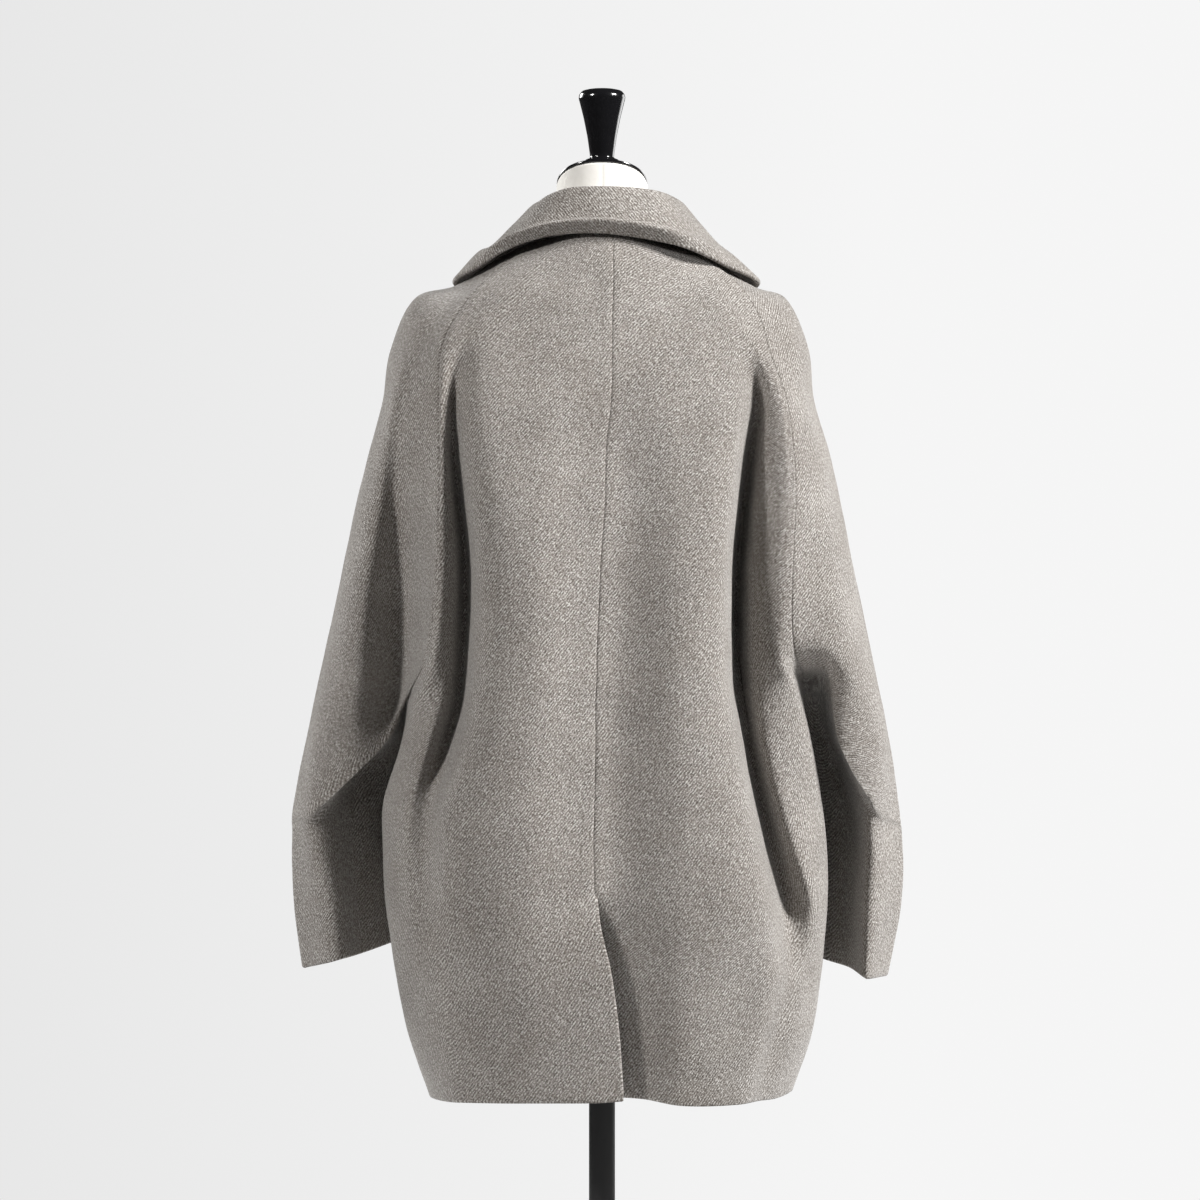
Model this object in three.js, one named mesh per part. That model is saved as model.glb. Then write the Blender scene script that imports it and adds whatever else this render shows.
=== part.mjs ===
// A double-breasted cocoon pea coat of thick wool with raglan sleeves, worn by a limbless dress form
// on a round-based stand. Millimetres, +Z up. The origin is the middle of the stand's underside, the
// coat's front faces -Y and the wearer's left is +X.
import * as THREE from 'three';

// ---- driving dimensions ----
const CLOTH = 2.6;            // body cloth, melton with its turnings pressed flat
const COLLAR_CLOTH = 3.4;     // top collar and under collar together
const SEAM_GAP = 0.3;         // left between two sewn pieces
const EASE = 2.75;            // least distance from the form to the outside of the coat
const WRAP = 5.4;             // how far the outer front stands over the inner front
const LAPEL_LIFT = 3.4;       // outside of the front to the outside of the turned lapel
const BREAK_ROW = 6.6;        // section of the fronts where the lapel stops turning

const POLE_RADIUS = 13;
const POLE_FOOT = 34;         // top of the base's boss, where the pole stands
const BASE_RADIUS = 180;
const BASE_THICK = 14;
const NECK_TILT = 0.5;        // slope of the neck plate, back edge high
const NECK_TOP = 1449;        // middle of the neck plate
const PLATE_THICK = 3;
const PLATE_SHARE = 0.985;    // of the neck's own ring

const BUTTON_RADIUS = 15;
const BUTTON_THICK = 4;
const BUTTON_RIM = 3;         // width of the raised rim
const SHANK = 1.8;
const SHANK_RADIUS = 3.5;
const BUTTON_ROWS = [7, 9, 13];
const BUTTON_COLUMNS = { left: 0.35, right: 1.65 };

const FINISHES = {            // colour, roughness, metalness
  wool: [0x9a928b, 0.95, 0],
  horn: [0x3b3632, 0.4, 0],
  linen: [0xe8e2d6, 0.85, 0],
  lacquer: [0x141314, 0.2, 0],
  blackPaint: [0x141314, 0.35, 0.4],
};

// ---- section tables ----
// One row for each section of the body from the neck seam down to the hem; sections are tilted
// where the height at the middle and at the seam differ. x is measured outward from the middle.
// Columns: z at centre, z at seam, then x, y on the centre line, close beside it, the soft roll, the
// flank, the valley, the ridge, the widest edge and the seam (raglan down to row 12, side below).
// A third number is that point's own height.
const UNDERARM_ROW = 12;
const VENT_ROW = 16;          // below it the left back laps over the right
const BACK_LEFT = [
  [1401, 1395, [-12, 58], [-4, 58], [12, 58], [31, 52], [42, 44], [50, 37], [56, 31], [60, 26]],
  [1380, 1375, [-11, 71], [0, 71], [22, 69], [49, 63], [65, 56], [77, 50], [85, 45], [91, 40]],
  [1346, 1347, [-11, 86], [4, 85], [33, 84], [74, 78], [95, 71], [106, 65], [115, 60], [121, 56]],
  [1312, 1312, [-10, 100], [8, 99], [47, 97], [96, 90], [120, 84], [132, 78], [141, 73], [147, 69]],
  [1281, 1283, [-10, 109], [10, 109], [57, 108], [113, 99], [137, 87], [147, 86], [153, 84], [158, 80]],
  [1232, 1233, [-9, 120], [12, 121], [64, 124], [125, 112], [146, 86], [153, 96], [157, 97], [160, 94]],
  [1183, 1184, [-4, 129], [17, 131], [70, 136], [124, 123], [146, 80], [152, 100], [156, 105], [159, 104]],
  [1134, 1135, [-3, 137], [19, 140], [68, 147], [120, 131], [141, 73], [149, 101], [155, 110], [159, 110]],
  [1076, 1076, [1, 145], [22, 149], [68, 157], [115, 139], [135, 66], [145, 100], [154, 113], [161, 113]],
  [1027, 1027, [3, 149], [24, 154], [68, 163], [114, 143], [135, 65], [146, 98], [157, 111], [165, 107]],
  [983, 980, [5, 152], [26, 157], [69, 167], [116, 147], [137, 66], [150, 96], [163, 106], [173, 94]],
  [961, 955, [5, 154], [26, 159], [70, 169], [118, 148], [139, 63], [154, 96], [170, 98], [185, 66]],
  [942, 937, [6, 155], [27, 160], [72, 170], [121, 149], [141, 64], [157, 98], [180, 86], [195, 18]],
  [892, 887, [6, 157], [28, 162], [76, 171], [129, 151], [155, 80], [173, 101], [198, 60], [199, -18]],
  [844, 836, [7, 158], [29, 162], [80, 172], [145, 150], [170, 100], [187, 103], [216, 48], [204, -22]],
  [796, 786, [8, 158], [30, 162], [81, 171], [147, 149], [173, 109], [191, 103], [217, 46], [205, -24]],
  [753, 740, [7, 158], [29, 161], [81, 168], [147, 147], [172, 116], [190, 102], [215, 45], [204, -24]],
  [719, 705, [3, 162], [27, 163], [81, 165], [145, 143], [169, 119], [187, 99], [210, 44], [200, -24]],
  [680, 665, [-6, 163], [18, 163], [80, 160], [141, 139], [165, 119], [183, 95], [204, 42], [195, -24]],
  [622, 605, [-14, 157], [10, 157], [77, 151], [136, 130], [155, 115], [174, 88], [192, 38], [184, -22]],
  [553, 544, [-19, 144], [5, 145], [72, 138], [127, 120], [144, 105], [158, 80], [171, 34], [165, -20]],
];
const BACK_RIGHT = [
  [1401, 1395, [12, 58], [17, 57], [26, 55], [36, 49], [44, 43], [51, 36], [56, 31], [60, 26]],
  [1380, 1377, [11, 71], [19, 70], [37, 67], [59, 60], [72, 53], [83, 48], [91, 44], [97, 40]],
  [1346, 1353, [11, 86], [23, 85], [49, 81], [83, 75], [102, 69], [114, 64], [124, 58], [131, 54]],
  [1312, 1320, [10, 100], [24, 99], [57, 96], [103, 89], [127, 83], [139, 77], [147, 72], [154, 67]],
  [1281, 1283, [10, 109], [25, 109], [62, 108], [121, 101], [144, 92], [154, 89], [160, 85], [165, 80]],
  [1232, 1233, [9, 120], [27, 121], [70, 124], [131, 114], [152, 83], [164, 98], [174, 100], [181, 96]],
  [1183, 1183, [4, 129], [24, 129], [76, 137], [126, 127], [146, 70], [159, 101], [177, 110], [187, 107]],
  [1134, 1134, [3, 137], [24, 136], [78, 148], [121, 137], [140, 58], [153, 99], [175, 115], [189, 113]],
  [1076, 1076, [-1, 145], [21, 144], [79, 159], [116, 146], [134, 50], [148, 95], [172, 116], [186, 115]],
  [1027, 1027, [-3, 149], [20, 148], [79, 165], [115, 151], [132, 44], [147, 93], [172, 113], [185, 111]],
  [983, 989, [-5, 152], [19, 151], [79, 169], [115, 154], [133, 44], [147, 91], [172, 109], [188, 101]],
  [961, 971, [-5, 154], [19, 153], [79, 170], [115, 155], [134, 44], [149, 90], [176, 104], [195, 74]],
  [942, 958, [-6, 155], [18, 154], [79, 171], [116, 156], [135, 46], [152, 90], [184, 92], [201, 22]],
  [892, 887, [-6, 157], [18, 156], [80, 173], [126, 157], [146, 54], [163, 89], [206, 62], [203, -14]],
  [844, 836, [-7, 158], [17, 157], [82, 174], [135, 156], [156, 54], [175, 90], [217, 48], [206, -22]],
  [796, 786, [-8, 158], [16, 157], [83, 173], [145, 153], [168, 60], [190, 88], [222, 46], [210, -24]],
  [753, 740, [-7, 158], [17, 156], [84, 170], [154, 148], [180, 66], [204, 84], [223, 45], [211, -24]],
  [719, 705, [-4, 145], [21, 150], [84, 166], [158, 142], [184, 82], [205, 78], [221, 44], [209, -24]],
  [679, 665, [-18, 137], [26, 146], [83, 160], [158, 134], [185, 97], [202, 75], [217, 42], [206, -24]],
  [620, 605, [-15, 129], [31, 139], [79, 151], [148, 123], [170, 100], [192, 80], [208, 38], [199, -22]],
  [555, 547, [-12, 117], [37, 128], [76, 137, 548], [134, 116, 547], [154, 94, 548], [171, 73, 548],
   [189, 34, 551], [182, -20]],
];
// Sections of either front. Columns: z at the front edge, then x, y on the front edge, the centre
// front, the chest, the flank, and the seam; its height is that of the back's seam, and so are its
// places from the underarm down. Below row 6 the edge lies past the centre front.
const FRONT = [
  [1392, [44, -42], [48, -39], [52, -35], [55, -31], [58, -26]],
  [1368, [42, -64], [54, -60], [68, -53], [81, -43], [92, -31]],
  [1340, [36, -88], [55, -82], [78, -72], [101, -57], [121, -38]],
  [1308, [24, -110], [52, -106], [86, -94], [120, -74], [147, -46]],
  [1278, [8, -127], [46, -124], [90, -112], [130, -88], [158, -56]],
  [1232, [-22, -150], [34, -148], [88, -134], [134, -106], [163, -66]],
  [1186, [-56, -158], [14, -165], [82, -152], [136, -116], [167, -70]],
  [1134, [-75, -166], [0, -177], [78, -164], [138, -122], [170, -70]],
  [1076, [-75, -173], [0, -185], [76, -172], [140, -126], [173, -66]],
  [1027, [-75, -177], [0, -189], [76, -176], [142, -128], [177, -58]],
  [983, [-75, -179], [0, -191], [76, -178], [146, -130], [184, -42]],
  [961, [-75, -179], [0, -191], [76, -178], [149, -130], [190, -16]],
  [942, [-75, -179], [0, -191], [77, -178], [152, -131], null],
  [890, [-75, -179], [0, -191], [78, -178], [158, -132], null],
  [840, [-75, -178], [0, -190], [79, -177], [160, -132], null],
  [790, [-75, -176], [0, -188], [79, -175], [161, -130], null],
  [745, [-75, -173], [0, -185], [79, -172], [160, -127], null],
  [711, [-75, -170], [0, -182], [79, -169], [158, -124], null],
  [671, [-75, -166], [0, -178], [79, -165], [155, -119], null],
  [612, [-75, -159], [0, -171], [79, -158], [150, -111], null],
  [540, [-75, -147], [0, -159], [79, -146], [142, -99], null],
];
// Sections of the sleeves, x, y, z for each line. The first line is the seam: above the underarm it
// is the body's raglan seam and stands as null, below it is the sleeve's own underarm seam. Then the
// fold, the middle, the outer face and the overarm seam, which the back and the front half share.
const SLEEVE_BACK_LEFT = [
  [null, [63, 19, 1395], [65, 12, 1395], [66, 6, 1396], [67, 0, 1396]],
  [null, [96, 31, 1376], [100, 20, 1377], [103, 10, 1378], [105, 0, 1378]],
  [null, [130, 44, 1346], [138, 30, 1348], [144, 14, 1350], [148, 0, 1351]],
  [null, [162, 54, 1317], [174, 38, 1327], [182, 18, 1337], [186, -2, 1340]],
  [null, [178, 62, 1283], [194, 48, 1285], [207, 22, 1287], [212, -5, 1287]],
  [null, [196, 62, 1233], [206, 55, 1235], [216, 28, 1236], [220, -8, 1237]],
  [null, [202, 60, 1184], [213, 58, 1186], [227, 32, 1187], [233, -8, 1187]],
  [null, [204, 52, 1134], [220, 61, 1133], [239, 35, 1131], [247, -9, 1130]],
  [null, [203, 40, 1075], [230, 62, 1072], [252, 35, 1068], [261, -10, 1065]],
  [null, [203, 29, 1024], [237, 61, 1014], [265, 35, 995], [278, -10, 985]],
  [null, [203, 24, 970], [242, 61, 955], [276, 34, 940], [290, -10, 930]],
  [null, [206, 26, 934], [246, 58, 915], [285, 34, 885], [301, -8, 875]],
  [null, [213, 37, 899], [243, 56, 866], [288, 39, 825], [311, -8, 818]],
  [[199, -37, 914], [211, -33, 889], [244, -24, 868], [286, 31, 813], [311, -8, 806]],
  [[201, -64, 850], [217, -36, 842], [250, -6, 815], [281, 32, 786], [311, -10, 768]],
  [[203, -66, 775], [217, -32, 764], [245, 1, 749], [270, 33, 735], [308, -12, 726]],
  [[198, -64, 698], [212, -32, 694], [240, 2, 686], [264, 31, 681], [301, -14, 670]],
];
const SLEEVE_BACK_RIGHT = [
  [null, [63, 19, 1395], [65, 12, 1395], [66, 6, 1396], [67, 0, 1396]],
  [null, [101, 31, 1377], [104, 20, 1378], [106, 10, 1379], [107, 0, 1379]],
  [null, [138, 42, 1349], [145, 29, 1349], [151, 14, 1349], [155, 0, 1348]],
  [null, [164, 53, 1325], [174, 38, 1331], [180, 18, 1337], [183, -2, 1340]],
  [null, [178, 66, 1284], [192, 50, 1286], [203, 24, 1287], [207, -4, 1287]],
  [null, [190, 82, 1234], [200, 62, 1235], [208, 30, 1236], [212, -6, 1237]],
  [null, [199, 94, 1184], [212, 72, 1185], [223, 34, 1187], [227, -8, 1187]],
  [null, [204, 100, 1134], [220, 80, 1133], [234, 40, 1131], [240, -9, 1130]],
  [null, [204, 103, 1075], [226, 86, 1072], [246, 46, 1068], [253, -10, 1065]],
  [null, [208, 102, 1022], [237, 86, 1012], [261, 44, 995], [270, -10, 985]],
  [null, [214, 96, 989], [244, 82, 968], [272, 42, 945], [281, -10, 932]],
  [null, [216, 80, 974], [244, 72, 935], [278, 40, 895], [291, -9, 880]],
  [null, [219, 55, 959], [237, 64, 889], [268, 44, 836], [300, -8, 812]],
  [[209, -38, 927], [217, -34, 922], [234, -32, 886], [267, 35, 824], [301, -8, 802]],
  [[207, -62, 856], [222, -44, 846], [248, -24, 820], [268, 33, 786], [302, -10, 766]],
  [[210, -66, 776], [224, -44, 766], [247, -20, 750], [265, 33, 734], [299, -12, 726]],
  [[206, -62, 684], [220, -42, 678], [246, -16, 671], [262, 30, 663], [287, -14, 662]],
];
const SLEEVE_FRONT_LEFT = [
  [[60, -20, 1393], [63, -14, 1394], [65, -9, 1395]],
  [[97, -23, 1374], [101, -16, 1376], [104, -8, 1377]],
  [[131, -30, 1346], [139, -22, 1348], [145, -12, 1350]],
  [[163, -39, 1318], [175, -30, 1328], [183, -18, 1337]],
  [[181, -53, 1285], [198, -44, 1286], [208, -26, 1287]],
  [[187, -65, 1234], [205, -56, 1235], [217, -34, 1236]],
  [[194, -72, 1185], [215, -62, 1186], [229, -38, 1187]],
  [[200, -77, 1134], [225, -68, 1133], [241, -42, 1131]],
  [[206, -80, 1074], [236, -72, 1071], [255, -46, 1068]],
  [[212, -80, 1020], [246, -76, 1008], [269, -50, 995]],
  [[218, -80, 968], [256, -80, 956], [282, -54, 943]],
  [[222, -74, 935], [262, -84, 912], [292, -58, 890]],
  [[224, -66, 905], [268, -90, 865], [302, -62, 835]],
  [[222, -84, 893], [268, -94, 855], [303, -64, 824]],
  [[228, -98, 835], [272, -100, 805], [304, -66, 782]],
  [[228, -98, 765], [270, -98, 750], [301, -64, 736]],
  [[218, -96, 692], [264, -95, 682], [295, -62, 674]],
];
const SLEEVE_FRONT_RIGHT = [
  [[60, -20, 1393], [63, -14, 1394], [65, -9, 1395]],
  [[98, -23, 1375], [103, -16, 1377], [106, -8, 1378]],
  [[137, -30, 1346], [145, -22, 1348], [151, -12, 1348]],
  [[163, -39, 1320], [174, -30, 1330], [181, -18, 1338]],
  [[177, -53, 1285], [193, -44, 1286], [203, -26, 1287]],
  [[184, -65, 1234], [199, -56, 1235], [209, -34, 1236]],
  [[190, -72, 1185], [210, -62, 1186], [223, -38, 1187]],
  [[197, -77, 1134], [220, -68, 1133], [235, -42, 1131]],
  [[203, -80, 1074], [230, -72, 1071], [248, -46, 1068]],
  [[209, -80, 1020], [240, -76, 1008], [262, -50, 995]],
  [[216, -80, 970], [248, -80, 958], [273, -54, 945]],
  [[222, -74, 942], [253, -84, 918], [282, -58, 895]],
  [[226, -66, 915], [259, -90, 866], [291, -62, 830]],
  [[226, -84, 905], [260, -94, 857], [292, -64, 820]],
  [[230, -98, 840], [264, -100, 808], [294, -66, 782]],
  [[230, -98, 768], [262, -98, 752], [292, -64, 736]],
  [[216, -94, 680], [254, -95, 674], [282, -62, 666]],
];
// Sections of the collar round the neck, from the centre back to its front end. Columns: stand foot,
// top of the stand, crest, middle of the fall, the dip above the lip, the lip, the lower edge.
const COLLAR_BACK = [
  [0, 56, 1402], [0, 56, 1440], [0, 64, 1445], [0, 70, 1430], [0, 75, 1414], [0, 78, 1411], [0, 69, 1399],
];
const COLLAR_LEFT = [
  [[30, 49, 1401], [29, 49, 1439], [34, 56, 1444], [40, 63, 1426], [45, 68, 1411], [50, 72, 1408],
   [50, 63, 1397]],
  [[47, 35, 1398], [46, 35, 1435], [52, 41, 1439], [66, 50, 1419], [77, 57, 1402], [86, 61, 1399],
   [87, 53, 1387]],
  [[56, 20, 1397], [55, 19, 1431], [60, 22, 1435], [82, 30, 1412], [102, 36, 1390], [113, 41, 1386],
   [120, 39, 1371]],
  [[62, 1, 1397], [60, 1, 1427], [66, 2, 1432], [88, 3, 1413], [112, 3, 1390], [124, 3, 1384],
   [148, 3, 1359]],
  [[57, -21, 1395], [55, -20, 1414], [60, -24, 1418], [86, -40, 1400], [108, -54, 1377], [118, -60, 1367],
   [134, -70, 1347]],
  [[47, -39, 1394], [47, -40, 1402], [51, -46, 1405], [70, -66, 1379], [88, -83, 1349], [96, -90, 1336],
   [106, -100, 1316]],
];
const COLLAR_RIGHT = [
  [[30, 49, 1401], [30, 49, 1439], [36, 56, 1444], [43, 64, 1426], [48, 71, 1409], [52, 74, 1404],
   [53, 66, 1392]],
  [[47, 35, 1398], [48, 35, 1437], [57, 41, 1442], [72, 52, 1420], [83, 59, 1402], [90, 65, 1394],
   [92, 66, 1383]],
  [[56, 20, 1397], [59, 19, 1433], [71, 22, 1438], [91, 30, 1415], [109, 38, 1392], [119, 43, 1382],
   [125, 44, 1370]],
  [[62, 1, 1397], [65, 1, 1429], [77, 3, 1434], [97, 4, 1414], [116, 4, 1393], [134, 4, 1379],
   [157, 3, 1358]],
  [[57, -21, 1395], [57, -20, 1416], [64, -24, 1421], [89, -40, 1402], [112, -55, 1377], [124, -62, 1364],
   [139, -71, 1346]],
  [[47, -39, 1394], [47, -40, 1402], [51, -46, 1405], [70, -66, 1379], [88, -83, 1349], [96, -90, 1336],
   [106, -100, 1316]],
];
// Rings of the dress form. Columns: height, half width, back, front.
const FORM = [
  [772, 96, 62, -56],
  [780, 122, 84, -76],
  [800, 140, 94, -86],
  [850, 158, 102, -92],
  [910, 160, 100, -96],
  [980, 146, 90, -92],
  [1050, 130, 84, -86],
  [1110, 132, 88, -94],
  [1170, 148, 98, -112],
  [1230, 164, 102, -126],
  [1280, 176, 95, -98],
  [1310, 176, 90, -74],
  [1332, 160, 80, -60],
  [1346, 142, 75, -52],
  [1356, 126, 70, -47],
  [1366, 108, 65, -44],
  [1376, 88, 60, -42],
  [1386, 68, 55, -42],
  [1397, 54, 50, -42],
  [1415, 49, 47, -44],
];
const FORM_ROUND = 2.25;      // 2 is an ellipse, more is squarer
const FORM_SIDES = 44;
const NECK_RING = [45.5, 44, -44];

// ---- curves and surfaces ----
const vec = (p) => new THREE.Vector3(p[0], p[1], p[2]);
const mix = THREE.MathUtils.lerp;

function along(points, t) {
  // Point at t of the smooth curve through points, where each step of 1 is one point further.
  const curve = new THREE.CatmullRomCurve3(points, false, 'centripetal');
  return curve.getPoint(THREE.MathUtils.clamp(t / (points.length - 1), 0, 1));
}

function downLine(points, row, corner) {
  // A line of the surface, with a sharp turn at the row where it leaves one seam for another.
  if (corner === undefined) return along(points, row);
  return row <= corner ? along(points.slice(0, corner + 1), row) : along(points.slice(corner), row - corner);
}

function surface(table, corners = {}) {
  // table[row][column] of Vector3 becomes a smooth surface at(row, column).
  return (row, column) => {
    const line = table[0].map((_, i) => downLine(table.map((points) => points[i]), row, corners[i]));
    return along(line, column);
  };
}

function steps(count, fine) {
  // 0 .. count - 1 with `fine` samples in each step.
  const list = [];
  for (let i = 0; i < (count - 1) * fine + 1; i++) list.push(i / fine);
  return list;
}

function grid(at, rows, columns) {
  return rows.map((row) => columns.map((column) => at(row, column)));
}

// ---- the form's outline, used by the form and by the cloth that rests on it ----
function formRing(z) {
  const last = FORM[FORM.length - 1];
  if (z <= FORM[0][0]) return FORM[0].slice(1);
  if (z >= last[0]) {
    const rise = Math.min(1, (z - last[0]) / 30);
    return NECK_RING.map((size, i) => mix(last[i + 1], size, rise));
  }
  let i = 0;
  while (FORM[i + 1][0] < z) i++;
  const t = (z - FORM[i][0]) / (FORM[i + 1][0] - FORM[i][0]);
  return [1, 2, 3].map((column) => mix(FORM[i][column], FORM[i + 1][column], t));
}

function offForm(p) {
  // Moves a point of the coat's outside out to the ease it must keep from the form.
  const [half, back, front] = formRing(p.z - EASE);
  const depth = (p.y > 0 ? back : -front) + EASE;
  const size = Math.pow(Math.abs(p.x) / (half + EASE), FORM_ROUND)
    + Math.pow(Math.abs(p.y) / depth, FORM_ROUND);
  if (size >= 1) return p;
  const grow = Math.pow(size, -1 / FORM_ROUND);
  return new THREE.Vector3(p.x * grow, p.y * grow, p.z);
}

// ---- cloth panels ----
function mirrored(table) {
  return table.map((row) => row.map((p) => new THREE.Vector3(-p.x, p.y, p.z)));
}

function backTable(rows) {
  return rows.map(([zCentre, zSeam, ...line]) => line.map(
    ([x, y, z], i) => new THREE.Vector3(x, y, z ?? mix(zCentre, zSeam, i / (line.length - 1)))));
}

function frontTable(back, lift) {
  // lift moves the front edge and the centre out where this front laps over the other.
  return FRONT.map(([zEdge, ...line], row) => {
    const seam = back[row][back[row].length - 1];
    const out = lift * THREE.MathUtils.clamp(row - 3, 0, 1);
    return line.map((p, i) => {
      if (p === null) return seam.clone();
      const share = i < 3 ? 1 : 0;
      return new THREE.Vector3(p[0], p[1] - out * share, mix(zEdge, seam.z, i / (line.length - 1)));
    });
  });
}

function sleeveTables(backRows, frontRows, back, front) {
  const half = (rows, body) => rows.map((row, i) => {
    const seam = i <= UNDERARM_ROW ? body[i][body[i].length - 1].clone() : vec(backRows[i][0]);
    return [seam, ...row.map(vec)];
  });
  const backHalf = half(backRows.map((row) => row.slice(1)), back);
  const overarm = backRows.map((row) => row[row.length - 1]);
  const frontHalf = half(frontRows.map((row, i) => [...row, overarm[i]]), front);
  return [backHalf, frontHalf];
}

// Normals of points that several panels share are averaged, so that sewn edges stay parallel.
const sharedNormals = new Map();
const keyOf = (p) => p.toArray().map((value) => Math.round(value * 1000)).join(' ');

function normals(points) {
  const last = points.length - 1;
  const end = points[0].length - 1;
  return points.map((row, i) => row.map((_, j) => {
    const down = points[Math.min(i + 1, last)][j].clone().sub(points[Math.max(i - 1, 0)][j]);
    const across = row[Math.min(j + 1, end)].clone().sub(row[Math.max(j - 1, 0)]);
    return down.cross(across).normalize();
  }));
}

function panel(name, points, { flip = false, cloth = CLOTH, shared = true } = {}) {
  // points is the outside of the piece; flip is set where its rows and columns run left-handed.
  const ns = normals(points);
  if (flip) ns.forEach((row) => row.forEach((n) => n.negate()));
  if (shared) {
    points.forEach((row, i) => row.forEach((p, j) => {
      const key = keyOf(p);
      if (!sharedNormals.has(key)) sharedNormals.set(key, new THREE.Vector3());
      sharedNormals.get(key).add(ns[i][j]);
    }));
  }
  return { name, points, ns, flip, cloth, shared };
}

function inset(points) {
  // Draws the outline in by half a seam gap along the piece's own lines.
  const last = points.length - 1;
  const end = points[0].length - 1;
  const pull = (p, q) => p.clone().add(q.clone().sub(p).setLength(SEAM_GAP / 2 + 0.05));
  const narrow = points.map((row) => row.map((p, j) => {
    if (j === 0) return pull(p, row[1]);
    return j === end ? pull(p, row[end - 1]) : p;
  }));
  return narrow.map((row, i) => row.map((p, j) => {
    if (i === 0) return pull(p, narrow[1][j]);
    return i === last ? pull(p, narrow[last - 1][j]) : p;
  }));
}

function indexed(positions, index) {
  const geometry = new THREE.BufferGeometry();
  geometry.setAttribute('position', new THREE.Float32BufferAttribute(positions, 3));
  geometry.setIndex(index);
  return geometry;
}

function wallGeometry({ points, ns, flip, cloth, shared }) {
  const rows = points.length;
  const columns = points[0].length;
  const facing = points.map((row, i) => row.map((p, j) => {
    if (!shared) return ns[i][j];
    const sum = sharedNormals.get(keyOf(p)).clone();
    return sum.lengthSq() < 0.04 ? ns[i][j] : sum.normalize();
  }));
  const outside = inset(points);
  const inside = outside.map((row, i) => row.map(
    (p, j) => p.clone().addScaledVector(facing[i][j], -cloth)));
  const positions = [...outside.flat(), ...inside.flat()].flatMap((p) => [p.x, p.y, p.z]);
  const index = [];
  const at = (i, j) => i * columns + j;
  const back = rows * columns;
  const quad = (a, b, c, d) => {
    const order = flip ? [a, c, b, a, d, c] : [a, b, c, a, c, d];
    index.push(...order);
  };
  for (let i = 0; i < rows - 1; i++) {
    for (let j = 0; j < columns - 1; j++) {
      quad(at(i, j), at(i + 1, j), at(i + 1, j + 1), at(i, j + 1));
      quad(back + at(i, j), back + at(i, j + 1), back + at(i + 1, j + 1), back + at(i + 1, j));
    }
  }
  const end = columns - 1;
  const foot = rows - 1;
  for (let i = 0; i < foot; i++) {
    quad(at(i + 1, 0), at(i, 0), back + at(i, 0), back + at(i + 1, 0));
    quad(at(i + 1, end), back + at(i + 1, end), back + at(i, end), at(i, end));
  }
  for (let j = 0; j < end; j++) {
    quad(at(0, j + 1), back + at(0, j + 1), back + at(0, j), at(0, j));
    quad(at(foot, j), back + at(foot, j), back + at(foot, j + 1), at(foot, j + 1));
  }
  return indexed(positions, index);
}

// ---- pieces and their finishes ----
const coat = new THREE.Group();

function add(name, geometry, finish) {
  const [color, roughness, metalness] = FINISHES[finish];
  const mesh = new THREE.Mesh(geometry, new THREE.MeshStandardMaterial({ color, roughness, metalness }));
  mesh.name = name;
  coat.add(mesh);
  return mesh;
}

// ---- the coat's panels ----
const BODY_SAMPLES = [...steps(11, 1), 10.5, 11, 11.5, 12, 12.5, ...steps(8, 1).map((row) => row + 13)];
const ELBOW_FOLD = { 0: UNDERARM_ROW, 1: UNDERARM_ROW, 2: UNDERARM_ROW };
const SLEEVE_SAMPLES = [...BODY_SAMPLES.filter((row) => row <= UNDERARM_ROW), 12.5, 13, 13.5, 14, 15, 16];

const draped = (at) => (row, column) => offForm(at(row, column));
const panels = [];
const surfaces = {};

function makeSide(side, backRows, sleeveBackRows, sleeveFrontRows, lift) {
  const turn = side === 'right' ? mirrored : (table) => table;
  const flip = side === 'right';
  const back = backTable(backRows);
  const front = frontTable(back, lift);
  const [sleeveBack, sleeveFront] = sleeveTables(sleeveBackRows, sleeveFrontRows, back, front);
  const pieces = [
    ['back', back, BODY_SAMPLES, { 0: VENT_ROW, 7: UNDERARM_ROW }],
    ['front', front, BODY_SAMPLES, { 4: UNDERARM_ROW }],
    ['sleeve_back', sleeveBack, SLEEVE_SAMPLES, ELBOW_FOLD],
    ['sleeve_front', sleeveFront, SLEEVE_SAMPLES, { 0: UNDERARM_ROW }],
  ];
  for (const [part, table, rows, corners] of pieces) {
    const at = draped(surface(turn(table), corners));
    const name = `${part}_${side}`;
    // Columns run outward from the middle, so the fronts wind the other way from the backs.
    const reversed = flip === part.endsWith('front');
    surfaces[name] = { at, flip: reversed };
    panels.push(panel(name, grid(at, rows, steps(table[0].length, 2)), { flip: reversed }));
  }
}
makeSide('left', BACK_LEFT, SLEEVE_BACK_LEFT, SLEEVE_FRONT_LEFT, 0);
makeSide('right', BACK_RIGHT, SLEEVE_BACK_RIGHT, SLEEVE_FRONT_RIGHT, WRAP);

for (const piece of panels) add(piece.name, wallGeometry(piece), 'wool');

// ---- collar ----
const collarRows = [
  ...COLLAR_LEFT.map((row) => row.map(vec)).reverse(),
  COLLAR_BACK.map(vec),
  ...COLLAR_RIGHT.map((row) => row.map(([x, y, z]) => new THREE.Vector3(-x, y, z))),
];
const collarAt = surface(collarRows);
const collarPoints = grid(collarAt, steps(collarRows.length, 2), [0, 1, 1.5, 2, 3, 4, 5, 6]);
const collar = panel('collar', collarPoints, { flip: true, cloth: COLLAR_CLOTH, shared: false });
add('collar', wallGeometry(collar), 'wool');

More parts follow.
